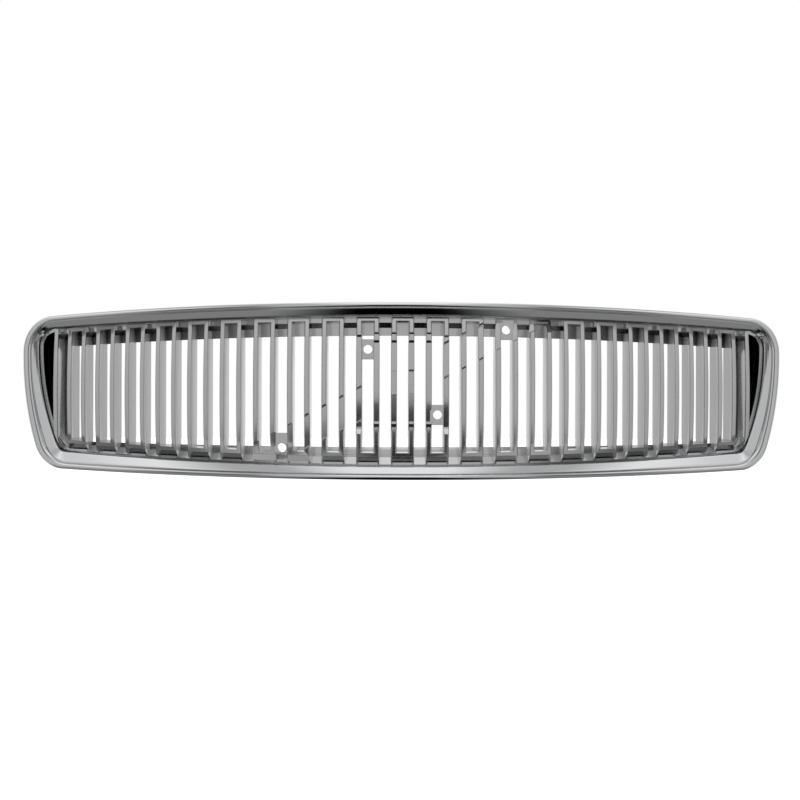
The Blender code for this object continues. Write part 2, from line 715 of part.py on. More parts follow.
# ---------------------------------------------------------------- screws and clips
def screw_mesh():
    """Pan-head self-tapping screw: head behind the origin, shank towards the front."""
    bm = bmesh.new()
    head, shank = SCREW_HEAD / 2, SCREW_SHANK / 2
    profile = [(0.0, SCREW_HEAD_HEIGHT), (head * 0.7, SCREW_HEAD_HEIGHT),
               (head, SCREW_HEAD_HEIGHT * 0.5), (head, 0.0),
               (shank, 0.0), (shank, -SCREW_LENGTH * 0.8), (shank * 0.35, -SCREW_LENGTH),
               (0.0, -SCREW_LENGTH)]
    verts = [bm.verts.new((radius, y, 0.0)) for radius, y in profile]
    edges = [bm.edges.new(pair) for pair in zip(verts, verts[1:])]
    bmesh.ops.spin(bm, geom=verts + edges, cent=(0, 0, 0), axis=(0, 1, 0), angle=2 * math.pi,
                   steps=10, use_merge=True)
    bmesh.ops.remove_doubles(bm, verts=bm.verts, dist=1e-6)
    mesh = mesh_from(bm, "insert_screw")
    mesh.shade_smooth()
    mesh.set_sharp_from_angle(angle=math.radians(35))
    return mesh


def make_screws(material):
    mesh = screw_mesh()
    mesh.materials.append(material)
    for number, (x, z, _) in enumerate(screw_places(), 1):
        screw = make_object(f"insert_screw_{number:02d}", mesh, None)
        screw.location = (x, boss_face(x) + EAR_THICKNESS + 2 * FIT_GAP, z)


def clip_hole_y(x):
    """Y of the hole through the blade and its clip."""
    return place(x, rear_depth(x), 0).y + BLADE_LENGTH - CLIP_LENGTH / 2


def clip_body():
    """Folded spring-steel clip: two leaves joined by a round fold behind the blade.

    Its origin is the middle of the blade's thickness at the hole.
    """
    inside = BLADE_THICKNESS / 2 + FIT_GAP
    outside = inside + CLIP_SHEET
    fold_y = CLIP_LENGTH / 2 + FIT_GAP
    front_y = -CLIP_LENGTH / 2
    turns = [math.pi / 2 - math.pi * i / 4 for i in range(5)]
    outer = [(fold_y + outside * math.cos(a), outside * math.sin(a)) for a in turns]
    inner = [(fold_y + inside * math.cos(a) * 0.6, inside * math.sin(a)) for a in turns]
    lead = 0.0012
    profile = [(front_y, outside + lead), (front_y + 2 * lead, outside)] + outer
    profile += [(front_y + 2 * lead, -outside), (front_y, -outside - lead)]
    profile += [(front_y, -inside - lead), (front_y + 2 * lead, -inside)] + inner[::-1]
    profile += [(front_y + 2 * lead, inside), (front_y, inside + lead)]
    bm = bmesh.new()
    half = CLIP_WIDTH / 2
    add_loft(bm, [[Vector((x, y, z)) for y, z in profile] for x in (-half, half)])
    return bm


def clip_mesh():
    """The finished clip, with its screw hole and threaded collar, as one mesh."""
    body = make_object("clip_source", mesh_from(clip_body(), "clip_source"), None)
    collar = bmesh.new()
    inner_z = BLADE_THICKNESS / 2 + FIT_GAP + CLIP_SHEET / 2
    add_rod(collar, (0, 0, -inner_z - CLIP_COLLAR_HEIGHT / 2), "Z", CLIP_COLLAR / 2,
            CLIP_COLLAR_HEIGHT, 12)
    hole = bmesh.new()
    add_rod(hole, (0, 0, 0), "Z", CLIP_HOLE / 2, 6 * CLIP_COLLAR_HEIGHT, 12)
    tools = [tool_object("tool_collar", collar), tool_object("tool_clip_hole", hole)]
    combine(body, tools[0], "UNION")
    combine(body, tools[1], "DIFFERENCE")
    view = bpy.context.evaluated_depsgraph_get()
    mesh = bpy.data.meshes.new_from_object(body.evaluated_get(view))
    mesh.name = "spring_clip"
    for obj in [body] + tools:
        bpy.data.objects.remove(obj)
    return mesh


def make_clips(material):
    mesh = clip_mesh()
    mesh.materials.append(material)
    for number, (x, side) in enumerate(clip_places(), 1):
        low, high = blade_box(x, side)
        clip = make_object(f"spring_clip_{number}", mesh, None)
        clip.location = (x, clip_hole_y(x), (low[2] + high[2]) / 2)
        clip.rotation_euler = (0, 0 if side > 0 else math.pi, 0)


def main():
    for obj in list(bpy.data.objects):
        bpy.data.objects.remove(obj)
    shell_chrome = make_material("surround_chrome", (0.72, 0.73, 0.74), 0.08, 1.0)
    fin_chrome = make_material("insert_chrome", (0.58, 0.58, 0.59), 0.16, 1.0)
    zinc = make_material("zinc_screw", (0.62, 0.62, 0.60), 0.35, 1.0)
    spring_steel = make_material("spring_steel", (0.22, 0.23, 0.24), 0.40, 1.0)
    make_surround(shell_chrome)
    make_fin_insert(fin_chrome)
    make_screws(zinc)
    make_clips(spring_steel)


main()
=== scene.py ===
"""Chrome-plated front grille of a car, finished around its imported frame.

Frame: +X to the right seen from the front, -Y to the front, +Z up, lengths in metres. "Depth"
is measured back from the foremost line of the surround, which is swept back in plan along one
circle. Every finished piece keeps its place in its mesh, with its object at the origin.
"""
import math
from collections import namedtuple
import bmesh
import bpy
from mathutils import Matrix, Vector


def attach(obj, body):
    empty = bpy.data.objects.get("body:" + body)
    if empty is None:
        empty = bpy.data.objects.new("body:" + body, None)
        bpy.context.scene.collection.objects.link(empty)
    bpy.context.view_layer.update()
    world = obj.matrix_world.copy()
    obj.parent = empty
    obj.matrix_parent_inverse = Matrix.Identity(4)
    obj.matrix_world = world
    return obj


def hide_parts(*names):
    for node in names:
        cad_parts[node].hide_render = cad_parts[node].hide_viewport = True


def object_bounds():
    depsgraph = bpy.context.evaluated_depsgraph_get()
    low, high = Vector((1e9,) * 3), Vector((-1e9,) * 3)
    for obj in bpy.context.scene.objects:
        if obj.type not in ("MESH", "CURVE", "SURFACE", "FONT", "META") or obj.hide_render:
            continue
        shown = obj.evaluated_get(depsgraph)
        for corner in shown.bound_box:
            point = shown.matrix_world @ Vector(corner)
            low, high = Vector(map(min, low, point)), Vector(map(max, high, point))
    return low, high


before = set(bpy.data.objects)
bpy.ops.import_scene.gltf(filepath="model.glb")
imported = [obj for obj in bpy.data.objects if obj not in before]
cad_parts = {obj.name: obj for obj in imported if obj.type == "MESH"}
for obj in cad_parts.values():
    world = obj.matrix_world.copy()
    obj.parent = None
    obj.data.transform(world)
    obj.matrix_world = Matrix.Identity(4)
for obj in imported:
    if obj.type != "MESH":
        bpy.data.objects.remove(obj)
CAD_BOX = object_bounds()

bl_info = {
    "name": "Front grille",
    "version": (1, 0, 0),
    "blender": (4, 5, 0),
    "location": "3D View > Sidebar > Grille",
    "description": "Finishes a chrome-plated front grille around its frame",
    "category": "Object",
}

# ---- sizes of the frame that the finished pieces follow ----
OVERALL_WIDTH = 0.7766
OVERALL_HEIGHT = 0.1702
PLAN_RADIUS = 0.900
CENTRE_DEPTH = 0.034
END_DEPTH = 0.028
FIT_GAP = 0.0003
SHELL = 0.0024
BEAD_WIDTH = 0.0058
BEAD_SIDE_WIDTH = 0.0105
BEAD_ROUND = 0.0050
GROOVE_DEPTH = 0.0024
LIP_WIDTH = 0.0068
LIP_SIDE_WIDTH = 0.0067
LIP_DEPTH = 0.0062
RETURN_DEPTH = 0.0275
CORNER_UPPER = 0.035
CORNER_LOWER = 0.034
WINDOW_SIZE = (0.0072, 0.0062)
WINDOW_TURN = math.radians(35.0)

FIN_PITCH = 0.01680
HOOPS_PER_SIDE = 10
FIN_FACE = 0.0039
FIN_SHOULDER = 0.0056
FIN_REAR = 0.0062
SHOULDER_DEPTH = 0.0050
FIN_SETBACK = 0.0060
FIN_SIDE_RADIUS = 0.350
FIN_MARGIN = 0.0008
FIN_TAIL = 0.0015            # the fins reach this far behind the flange
CHIN_GAP = 0.0030
CHIN_HEIGHT = 0.0058
CHIN_DEPTH = 0.0075
HOOP_BAR = 0.0037
BRIDGE_SETBACK = 0.0080
BRIDGE_HEIGHT = 0.0050
INSERT_CLEARANCE = 0.0005
RING_WALL = 0.0040
RING_FRONT = 0.0226
FLANGE_FRONT = 0.0325
FLANGE = 0.0028
RAIL_UPPER = 0.0178
RAIL_LOWER = 0.0173
RAIL_SIDE = 0.0257
RAIL_STEP = 0.0034           # inner band of the rail, round the opening
RAIL_LEAN = 0.0016           # that band stands this much further back below the opening
RIB_REACH = 0.0013           # rib round the insert that closes its gap to the surround
RIB_GAP = 0.0008             # rib to the rear edge of the surround's inner wall
BAR_BITE = FIN_FACE / 2 - 0.0009     # bridges and tabs start this far from a bar's centre
BEAD_TURN = math.radians(150.0)      # how far round the outer bead is rounded
LAST_GAP = 2 * HOOPS_PER_SIDE + 1

STRIP_SLOPE = math.tan(math.radians(27.5))
STRIP_WIDTH = 0.0275
STRIP_DEPTH = 0.0070
STRIP_END = 0.150            # how far the strip's seat reaches left and right of the middle
SEAT_HEIGHT = 0.0087
SEAT_HALF = 0.0463
SEAT_CORNER = 0.012
SEAT_DEPTH = 0.0030
SEAT_FLOOR_RADIUS = 0.250    # the seat's floor curves back below its middle
POCKET_HALF = 0.0382
POCKET_DEPTH = 0.0070
SOCKET_RADIUS = 0.0135
SOCKET_DEPTH = 0.0095
TAB_HEIGHT = 0.0195
TAB_THICKNESS = 0.0026
TAB_SETBACK = 0.0080
TAB_HOLE = 0.0085
EMBLEM_TAB_REACH = 0.0315    # holes of the emblem's tabs above and below the seat's middle
STRIP_TAB_UPPER = 0.0510     # holes of the strip's tabs above and below it
STRIP_TAB_LOWER = 0.0640

SCREW_SHANK = 0.0036
SCREW_LENGTH = 0.0130
SCREW_HEAD = 0.0074
SCREW_HEAD_HEIGHT = 0.0024
SCREW_COLUMNS = (0.0, 0.150, 0.290)
BOSS_WIDTH = 0.0120
BOSS_FRONT = 0.0140
BOSS_REAR = 0.0325
EAR_WIDTH = 0.0110
EAR_THICKNESS = 0.0024
EAR_GAP = 0.0009
EAR_SIDE_REACH = 0.0030
EAR_ROOT = 0.0035
CLIP_COLUMNS_UPPER = (0.075, 0.225)
CLIP_COLUMNS_LOWER = (0.225,)
BLADE_WIDTH = 0.020
BLADE_LENGTH = 0.020
BLADE_THICKNESS = 0.0030
BLADE_HOLE = 0.0074
CLIP_LENGTH = 0.0165

Outline = namedtuple("Outline", "half top bottom top_r bottom_r side_r side_z upper_r lower_r")


# ---------------------------------------------------------------- settings
class GrilleShape(bpy.types.PropertyGroup):
    """Sizes that only the finished pieces have."""

    outline_steps: bpy.props.IntProperty(
        name="Outline steps", description="Points along each long edge of the surround",
        default=44, min=8, max=90)
    edge_radius: bpy.props.FloatProperty(
        name="Fin edge radius", description="Rounding of the fins' front edges",
        default=0.00045, min=0.0001, max=0.001, subtype="DISTANCE", unit="LENGTH")
    step_run: bpy.props.FloatProperty(
        name="Seat step", description="Height over which a fin steps back into a seat",
        default=0.0021, min=0.0003, max=0.003, subtype="DISTANCE", unit="LENGTH")


class GrilleFinish(bpy.types.PropertyGroup):
    """Colours and gloss of the finishes."""

    surround_tint: bpy.props.FloatVectorProperty(
        name="Surround tint", description="Reflection colour of the bright plating",
        subtype="COLOR", size=3, min=0.0, max=1.0, default=(0.73, 0.735, 0.745))
    insert_tint: bpy.props.FloatVectorProperty(
        name="Insert tint", description="Reflection colour of the fins' plating",
        subtype="COLOR", size=3, min=0.0, max=1.0, default=(0.62, 0.622, 0.625))
    surround_roughness: bpy.props.FloatProperty(
        name="Surround roughness", description="Blur of the surround's reflections",
        default=0.07, min=0.0, max=1.0, subtype="FACTOR")
    insert_roughness: bpy.props.FloatProperty(
        name="Insert roughness", description="Blur of the fins' reflections",
        default=0.16, min=0.0, max=1.0, subtype="FACTOR")


class GrilleStudio(bpy.types.PropertyGroup):
    """Camera and light."""

    distance: bpy.props.FloatProperty(
        name="Camera distance", description="Camera to the surround's foremost line",
        default=1.140, min=0.3, max=10.0, subtype="DISTANCE", unit="LENGTH")
    camera_x: bpy.props.FloatProperty(
        name="Camera offset", description="Camera to the left or right of the middle",
        default=-0.0098, min=-1.0, max=1.0, subtype="DISTANCE", unit="LENGTH")
    camera_z: bpy.props.FloatProperty(
        name="Camera height", description="Camera above the grille's middle",
        default=-0.0086, min=-1.0, max=1.0, subtype="DISTANCE", unit="LENGTH")
    lens: bpy.props.FloatProperty(
        name="Lens", description="Focal length on a 36 mm wide sensor",
        default=54.0, min=10.0, max=300.0, subtype="DISTANCE_CAMERA", unit="CAMERA")
    yaw: bpy.props.FloatProperty(
        name="Yaw", description="Camera turned to the right",
        default=math.radians(0.361), subtype="ANGLE", unit="ROTATION")
    roll: bpy.props.FloatProperty(
        name="Roll", description="Camera rolled about its own axis",
        default=math.radians(0.16), subtype="ANGLE", unit="ROTATION")
    floor_drop: bpy.props.FloatProperty(
        name="Floor drop", description="Floor below the grille's lowest point",
        default=0.60, min=0.0, max=5.0, subtype="DISTANCE", unit="LENGTH")


# ---------------------------------------------------------------- outlines
def sweep(x):
    """Distance that the plan circle has swept back at x."""
    return PLAN_RADIUS - math.sqrt(PLAN_RADIUS ** 2 - x ** 2)


FRONT_Y = -(sweep(OVERALL_WIDTH / 2) + END_DEPTH) / 2


def place(x, depth, z):
    """Point at a depth behind the swept front."""
    return Vector((x, FRONT_Y + sweep(x) + depth, z))


OUTER = Outline(OVERALL_WIDTH / 2, OVERALL_HEIGHT / 2, -OVERALL_HEIGHT / 2,
                6.5, 9.5, 0.292, 0.035, CORNER_UPPER, CORNER_LOWER)
GROOVE = Outline(OUTER.half - BEAD_SIDE_WIDTH, OUTER.top - BEAD_WIDTH, OUTER.bottom + BEAD_WIDTH,
                 6.5, 9.0, 0.273, 0.036, CORNER_UPPER - 0.005, CORNER_LOWER - 0.004)
INNER = Outline(GROOVE.half - LIP_SIDE_WIDTH, GROOVE.top - LIP_WIDTH, GROOVE.bottom + LIP_WIDTH,
                7.2, 5.5, 0.231, 0.042, 0.019, 0.011)


def inset(outline, distance):
    """The parallel outline that lies inside by a distance."""
    return Outline(outline.half - distance, outline.top - distance, outline.bottom + distance,
                   outline.top_r - distance, outline.bottom_r - distance,
                   outline.side_r - distance, outline.side_z,
                   outline.upper_r - distance, outline.lower_r - distance)


def blend(first, second, share):
    """The outline part of the way from the first to the second."""
    return Outline(*(a + (b - a) * share for a, b in zip(first, second)))


INSERT_EDGE = inset(INNER, INSERT_CLEARANCE)
OPENING = Outline(INSERT_EDGE.half - RAIL_SIDE, INSERT_EDGE.top - RAIL_UPPER,
                  INSERT_EDGE.bottom + RAIL_LOWER, 6.7, 20.0, 1.200, 0.042, 0.008, 0.008)


def arc(centre, radius, start, end, steps):
    """Points on a circle from one angle to another, without the last one."""
    angles = [start + (end - start) * i / steps for i in range(steps)]
    return [(centre[0] + radius * math.cos(a), centre[1] + radius * math.sin(a)) for a in angles]


def fillet_centre(big_centre, big_r, side_centre, side_r, r, sign):
    """Centre of the circle of radius r that touches two larger circles from inside."""
    d1, d2 = big_r - r, side_r - r
    dx, dz = side_centre[0] - big_centre[0], side_centre[1] - big_centre[1]
    gap = math.hypot(dx, dz)
    along = (d1 ** 2 - d2 ** 2 + gap ** 2) / (2 * gap)
    across = math.sqrt(d1 ** 2 - along ** 2)
    ux, uz = dx / gap, dz / gap
    return (big_centre[0] + along * ux - sign * across * uz,
            big_centre[1] + along * uz + sign * across * ux)


def outline_points(o, steps):
    """Closed loop of (x, z) points, clockwise from the top centre."""
    top_c = (0.0, o.top - o.top_r)
    bottom_c = (0.0, o.bottom + o.bottom_r)
    side_c = (o.half - o.side_r, o.side_z)
    up = fillet_centre(top_c, o.top_r, side_c, o.side_r, o.upper_r, -1)
    low = fillet_centre(bottom_c, o.bottom_r, side_c, o.side_r, o.lower_r, 1)
    top_a = math.atan2(up[1] - top_c[1], up[0] - top_c[0])
    side_a = math.atan2(up[1] - side_c[1], up[0] - side_c[0])
    side_b = math.atan2(low[1] - side_c[1], low[0] - side_c[0])
    bottom_a = math.atan2(low[1] - bottom_c[1], low[0] - bottom_c[0])
    half = arc(top_c, o.top_r, math.pi / 2, top_a, steps)
    half += arc(up, o.upper_r, top_a, side_a, steps // 2)
    half += arc(side_c, o.side_r, side_a, side_b, steps // 2)
    half += arc(low, o.lower_r, side_b, bottom_a, steps // 2)
    half += arc(bottom_c, o.bottom_r, bottom_a, -math.pi / 2, steps)
    mirrored = [(-x, z) for x, z in reversed(half[1:])]
    return half + [(0.0, o.bottom)] + mirrored


def top_edge(o, x):
    return o.top - o.top_r + math.sqrt(o.top_r ** 2 - x ** 2)


def bottom_edge(o, x):
    return o.bottom + o.bottom_r - math.sqrt(o.bottom_r ** 2 - x ** 2)


def side_edge(o, z):
    return o.half - o.side_r + math.sqrt(o.side_r ** 2 - (z - o.side_z) ** 2)


# ---------------------------------------------------------------- modelling by operators
def start():
    """Object mode with nothing selected."""
    if bpy.context.mode != "OBJECT":
        bpy.ops.object.mode_set(mode="OBJECT")
    bpy.ops.object.select_all(action="DESELECT")


def active(obj):
    """The object alone, selected and active."""
    start()
    obj.select_set(True)
    bpy.context.view_layer.objects.active = obj


def grow(name, sections, ring=False):
    """A polygon of the first section, extruded to each further section in turn.

    ring: the sections are open loops, and the last extrusion meets the first loop again.
    """
    start()
    bpy.ops.mesh.primitive_circle_add(vertices=len(sections[0]),
                                      fill_type="NOTHING" if ring else "NGON")
    obj = bpy.context.object
    obj.name = obj.data.name = name
    obj.matrix_world = Matrix.Identity(4)
    for vert, point in zip(obj.data.vertices, sections[0]):
        vert.co = point
    bpy.ops.object.mode_set(mode="EDIT")
    bpy.ops.mesh.select_all(action="SELECT")
    loop = list(range(len(sections[0])))
    extrude = bpy.ops.mesh.extrude_edges_move if ring else bpy.ops.mesh.extrude_region_move
    for section in list(sections[1:]) + ([sections[0]] if ring else []):
        extrude()
        bm = bmesh.from_edit_mesh(obj.data)
        bm.verts.ensure_lookup_table()
        bm.verts.index_update()
        moved = []
        for index, point in zip(loop, section):
            old = bm.verts[index]
            new = next(e.other_vert(old) for e in old.link_edges if e.other_vert(old).select)
            new.co = point
            moved.append(new.index)
        loop = moved
        bmesh.update_edit_mesh(obj.data)
    bpy.ops.mesh.select_all(action="SELECT")
    if ring:
        bpy.ops.mesh.remove_doubles(threshold=1e-6)
    bpy.ops.mesh.normals_make_consistent(inside=False)
    bpy.ops.object.mode_set(mode="OBJECT")
    return obj


def block(name, low, high, bevel=0.0):
    """A rectangular block between two corners, its edges rounded."""
    rect = [(low[0], low[1]), (high[0], low[1]), (high[0], high[1]), (low[0], high[1])]
    obj = grow(name, [[Vector((x, y, z)) for x, y in rect] for z in (low[2], high[2])])
    if bevel:
        soften(obj, bevel)
    return obj


def rod(name, centre, axis, radius, length, sides=32):
    """A round rod about Y or Z."""
    sections = []
    for end in (-length / 2, length / 2):
        ring = []
        for i in range(sides):
            a = 2 * math.pi * i / sides
            u, v = radius * math.cos(a), radius * math.sin(a)
            ring.append(Vector((u, end, v) if axis == "Y" else (u, v, end)) + Vector(centre))
        sections.append(ring)
    return grow(name, sections)


def soften(obj, width, segments=2, angle=35.0):
    """Rounds the edges that are sharper than an angle in degrees."""
    active(obj)
    bevel = obj.modifiers.new("edges", "BEVEL")
    bevel.width = width
    bevel.segments = segments
    bevel.limit_method = "ANGLE"
    bevel.angle_limit = math.radians(angle)
    bpy.ops.object.modifier_apply(modifier=bevel.name)


def cut(obj, *tools):
    """Cuts each tool out of an object and deletes the tool."""
    for tool in tools:
        active(obj)
        boolean = obj.modifiers.new("cut", "BOOLEAN")
        boolean.operation = "DIFFERENCE"
        boolean.solver = "EXACT"
        boolean.object = tool
        bpy.ops.object.modifier_apply(modifier=boolean.name)
        active(tool)
        bpy.ops.object.delete()


def join(name, parts):
    """All parts as one object."""
    start()
    for part in parts:
        part.select_set(True)
    bpy.context.view_layer.objects.active = parts[0]
    if len(parts) > 1:
        bpy.ops.object.join()
    obj = bpy.context.object
    obj.name = obj.data.name = name
    return obj


def finish_piece(obj, material, angle, slot, *nodes):
    """Shading, material and the frame's bookkeeping of one finished piece."""
    active(obj)
    bpy.ops.object.shade_smooth_by_angle(angle=math.radians(angle))
    bpy.ops.object.modifier_add(type="WEIGHTED_NORMAL")
    obj.modifiers[-1].keep_sharp = True
    bpy.ops.object.modifier_apply(modifier=obj.modifiers[-1].name)
    obj.data.materials.clear()
    obj.data.materials.append(material)
    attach(obj, "root")
    if nodes:
        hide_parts(*nodes)


# ---------------------------------------------------------------- materials
class NodeSums:
    """Small sums between the sockets of one node tree."""

    def __init__(self, tree):
        self.tree = tree

    def axes(self, output):
        """X, Y and Z of a texture coordinate."""
        place_in = self.tree.nodes.new("ShaderNodeTexCoord")
        split = self.tree.nodes.new("ShaderNodeSeparateXYZ")
        self.tree.links.new(place_in.outputs[output], split.inputs["Vector"])
        return [split.outputs[axis] for axis in "XYZ"]

    def mapped(self, value, low, high, to_low=0.0, to_high=1.0):
        """A value's range moved to another one and kept inside it."""
        node = self.tree.nodes.new("ShaderNodeMapRange")
        for name, number in (("From Min", low), ("From Max", high), ("To Min", to_low),
                             ("To Max", to_high)):
            node.inputs[name].default_value = number
        self.tree.links.new(value, node.inputs["Value"])
        return node.outputs["Result"]

    def maths(self, operation, *values):
        """A sum of sockets and plain numbers."""
        node = self.tree.nodes.new("ShaderNodeMath")
        node.operation = operation
        for socket, value in zip(node.inputs, values):
            if isinstance(value, float):
                socket.default_value = value
            else:
                self.tree.links.new(value, socket)
        return node.outputs["Value"]


def plating(name, tint, roughness, orange_peel, specks):
    """Metal plating with uneven gloss, a faint orange peel and a few dust specks."""
    material = bpy.data.materials.new(name)
    material.use_nodes = True
    tree = material.node_tree
    mapped = NodeSums(tree).mapped
    shader = tree.nodes["Principled BSDF"]
    shader.inputs["Metallic"].default_value = 1.0
    place_in = tree.nodes.new("ShaderNodeTexCoord")

    def texture(kind, output, scale, detail=0.0):
        node = tree.nodes.new(kind)
        node.inputs["Scale"].default_value = scale
        node.inputs["Detail"].default_value = detail
        tree.links.new(place_in.outputs["Object"], node.inputs["Vector"])
        return node.outputs[output]

    gloss = mapped(texture("ShaderNodeTexNoise", "Fac", 14.0, 3.0), 0.3, 0.7,
                   roughness * 0.8, roughness * 1.25)
    tree.links.new(gloss, shader.inputs["Roughness"])
    near = mapped(texture("ShaderNodeTexVoronoi", "Distance", 95.0), 0.0, specks, 1.0, 0.0)
    mix = tree.nodes.new("ShaderNodeMix")
    mix.data_type = "RGBA"
    mix.inputs["A"].default_value = (*tint, 1.0)
    mix.inputs["B"].default_value = (*(c * 0.45 for c in tint), 1.0)
    tree.links.new(near, mix.inputs["Factor"])
    tree.links.new(mix.outputs["Result"], shader.inputs["Base Color"])
    bump = tree.nodes.new("ShaderNodeBump")
    bump.inputs["Strength"].default_value = orange_peel
    bump.inputs["Distance"].default_value = 0.0002
    tree.links.new(texture("ShaderNodeTexNoise", "Fac", 260.0, 2.0), bump.inputs["Height"])
    tree.links.new(bump.outputs["Normal"], shader.inputs["Normal"])
    return material


def add_painted_pocket_shade(material):
    """Painted shade: the base colour turns near black deep in the end loops and on the upper rail
    towards the ends, where those pockets lie in shade.
    """
    tree = material.node_tree
    shader = tree.nodes["Principled BSDF"]
    sums = NodeSums(tree)
    maths, mapped = sums.maths, sums.mapped
    side, back, up = sums.axes("Object")
    aside = maths("ABSOLUTE", side)
    swept = maths("MULTIPLY", maths("MULTIPLY", side, side), 0.515 / PLAN_RADIUS)
    depth = maths("SUBTRACT", maths("SUBTRACT", back, swept), FRONT_Y)
    # painted shade deep inside the end loops
    loop = maths("MULTIPLY", mapped(aside, fin_x(LAST_GAP + 0.5), fin_x(LAST_GAP + 0.6)),
                 mapped(depth, 0.0135, 0.0165))
    # painted shade on the upper rail towards the ends, behind the hoops
    rail = maths("MULTIPLY", mapped(aside, 0.10, 0.27),
                 mapped(depth, FLANGE_FRONT - 0.010, FLANGE_FRONT))
    rail = maths("MULTIPLY", maths("MULTIPLY", rail, mapped(up, 0.045, 0.062)), 0.8)
    painted_shade = maths("MAXIMUM", loop, rail)
    mix = tree.nodes.new("ShaderNodeMix")
    mix.data_type = "RGBA"
    tree.links.new(shader.inputs["Base Color"].links[0].from_socket, mix.inputs["A"])
    # near-black colour of the painted shade
    mix.inputs["B"].default_value = (0.035, 0.036, 0.038, 1.0)
    tree.links.new(painted_shade, mix.inputs["Factor"])
    tree.links.new(mix.outputs["Result"], shader.inputs["Base Color"])


# ---------------------------------------------------------------- surround
def rear_depth(x):
    """Depth of the surround's rear edge, shallower towards the ends."""
    share = min(1.0, abs(x) / (OVERALL_WIDTH / 2))
    return CENTRE_DEPTH + (END_DEPTH - CENTRE_DEPTH) * share ** 2


def surround_section():
    """(outline, depth) of each line that runs round the surround; None is the rear edge."""
    lines = [(OUTER, None), (OUTER, BEAD_ROUND + 0.0080), (OUTER, BEAD_ROUND + 0.0010)]
    steps = 12
    for i in range(steps + 1):
        a = BEAD_TURN * i / steps
        share = (1 - math.cos(a)) / (1 - math.cos(BEAD_TURN))
        depth = BEAD_ROUND * (1 - math.sin(a))
        if i > steps * 2 // 3:
            depth = min(depth, GROOVE_DEPTH)
        lines.append((blend(OUTER, GROOVE, share * 0.985), depth))
    lip = ((0.03, 0.0019), (0.08, 0.0017), (0.15, 0.0019), (0.22, 0.0022), (0.30, 0.0026),
           (0.40, 0.0031), (0.50, 0.0037), (0.62, 0.0043), (0.75, 0.0051), (0.85, 0.0057),
           (0.92, 0.0061), (0.98, 0.0066))
    lines += [(blend(GROOVE, INNER, share), depth) for share, depth in lip]
    lines += [(INNER, LIP_DEPTH + 0.001), (INNER, LIP_DEPTH + 0.004), (INNER, RETURN_DEPTH - 0.0004)]
    hidden = inset(INNER, -SHELL)
    lines += [(inset(INNER, -0.0004), RETURN_DEPTH), (hidden, RETURN_DEPTH)]
    lines += [(hidden, LIP_DEPTH + SHELL / 2)]
    lines += [(blend(GROOVE, INNER, 0.35), 0.0016 + SHELL * 1.3), (GROOVE, GROOVE_DEPTH + SHELL)]
    lines += [(inset(OUTER, SHELL), BEAD_ROUND + SHELL), (inset(OUTER, SHELL), None)]
    return lines


def channel_middle(x, upper):
    """Height of the middle of the surround's channel, above or below the opening."""
    edge = top_edge if upper else bottom_edge
    return (edge(inset(OUTER, SHELL), x) + edge(inset(INNER, -SHELL), x)) / 2


def signed(columns):
    return sorted({side * column for column in columns for side in (-1, 1)})


def screw_places():
    """(x, z, direction towards the opening) of each insert screw."""
    places = [(x, channel_middle(x, True), (0, -1)) for x in signed(SCREW_COLUMNS)]
    places += [(x, channel_middle(x, False), (0, 1)) for x in signed(SCREW_COLUMNS)]
    side_x = (side_edge(inset(OUTER, SHELL), 0.0) + side_edge(inset(INNER, -SHELL), 0.0)) / 2
    return places + [(-side_x, 0.0, (1, 0)), (side_x, 0.0, (-1, 0))]


def boss_face(x):
    return place(x, BOSS_REAR, 0).y


def clip_places():
    return ([(x, 1) for x in signed(CLIP_COLUMNS_UPPER)]
            + [(x, -1) for x in signed(CLIP_COLUMNS_LOWER)])


def blade(number, x, side):
    """Mounting blade at the rear edge, with the hole that its clip sits over."""
    edge = top_edge(OUTER, x) if side > 0 else bottom_edge(OUTER, x)
    outer_z = edge - side * SHELL / 6
    zs = sorted((outer_z, outer_z - side * BLADE_THICKNESS))
    rear_y = place(x, rear_depth(x), 0).y
    corner = 0.003
    y_end = rear_y + BLADE_LENGTH
    plan = [(x - BLADE_WIDTH / 2, rear_y - BLADE_LENGTH / 3),
            (x + BLADE_WIDTH / 2, rear_y - BLADE_LENGTH / 3)]
    for sign in (1, -1):
        cx, cy = x + sign * (BLADE_WIDTH / 2 - corner), y_end - corner
        turns = [math.radians(15 * i) for i in range(7)]
        angles = turns if sign > 0 else [math.pi - a for a in reversed(turns)]
        plan += [(cx + corner * math.cos(a), cy + corner * math.sin(a)) for a in angles]
    obj = grow(f"blade_{number}", [[Vector((px, py, z)) for px, py in plan] for z in zs])
    soften(obj, 0.0003)
    hole = (x, y_end - CLIP_LENGTH / 2, sum(zs) / 2)
    cut(obj, rod("hole", hole, "Z", BLADE_HOLE / 2, 3 * BLADE_THICKNESS))
    return obj


def boss(number, x, z, inward):
    """Block across the channel that takes an insert screw."""
    bite = SHELL / 2
    if inward[0]:
        reach = sorted(math.copysign(1, x) * v for v in (
            side_edge(inset(INNER, -SHELL), z) - bite, side_edge(inset(OUTER, SHELL), z) + bite))
        low = (reach[0], place(x, BOSS_FRONT, 0).y, z - BOSS_WIDTH / 2)
        high = (reach[1], boss_face(x), z + BOSS_WIDTH / 2)
    else:
        edge = top_edge if inward[1] < 0 else bottom_edge
        sign = -inward[1]
        zs = sorted((edge(inset(INNER, -SHELL), x) - sign * bite,
                     edge(inset(OUTER, SHELL), x) + sign * bite))
        low = (x - BOSS_WIDTH / 2, place(x, BOSS_FRONT, 0).y, zs[0])
        high = (x + BOSS_WIDTH / 2, boss_face(x), zs[1])
    return block(f"boss_{number}", low, high, 0.0004)


def window_place(sign, steps):
    """(centre, turn) of the locating window, in the lip at an upper corner."""
    lip = outline_points(blend(GROOVE, INNER, 0.5), steps)
    x, z = lip[steps + steps // 4]
    return place(sign * x, 0.0, z), Matrix.Rotation(sign * WINDOW_TURN, 3, "Y")


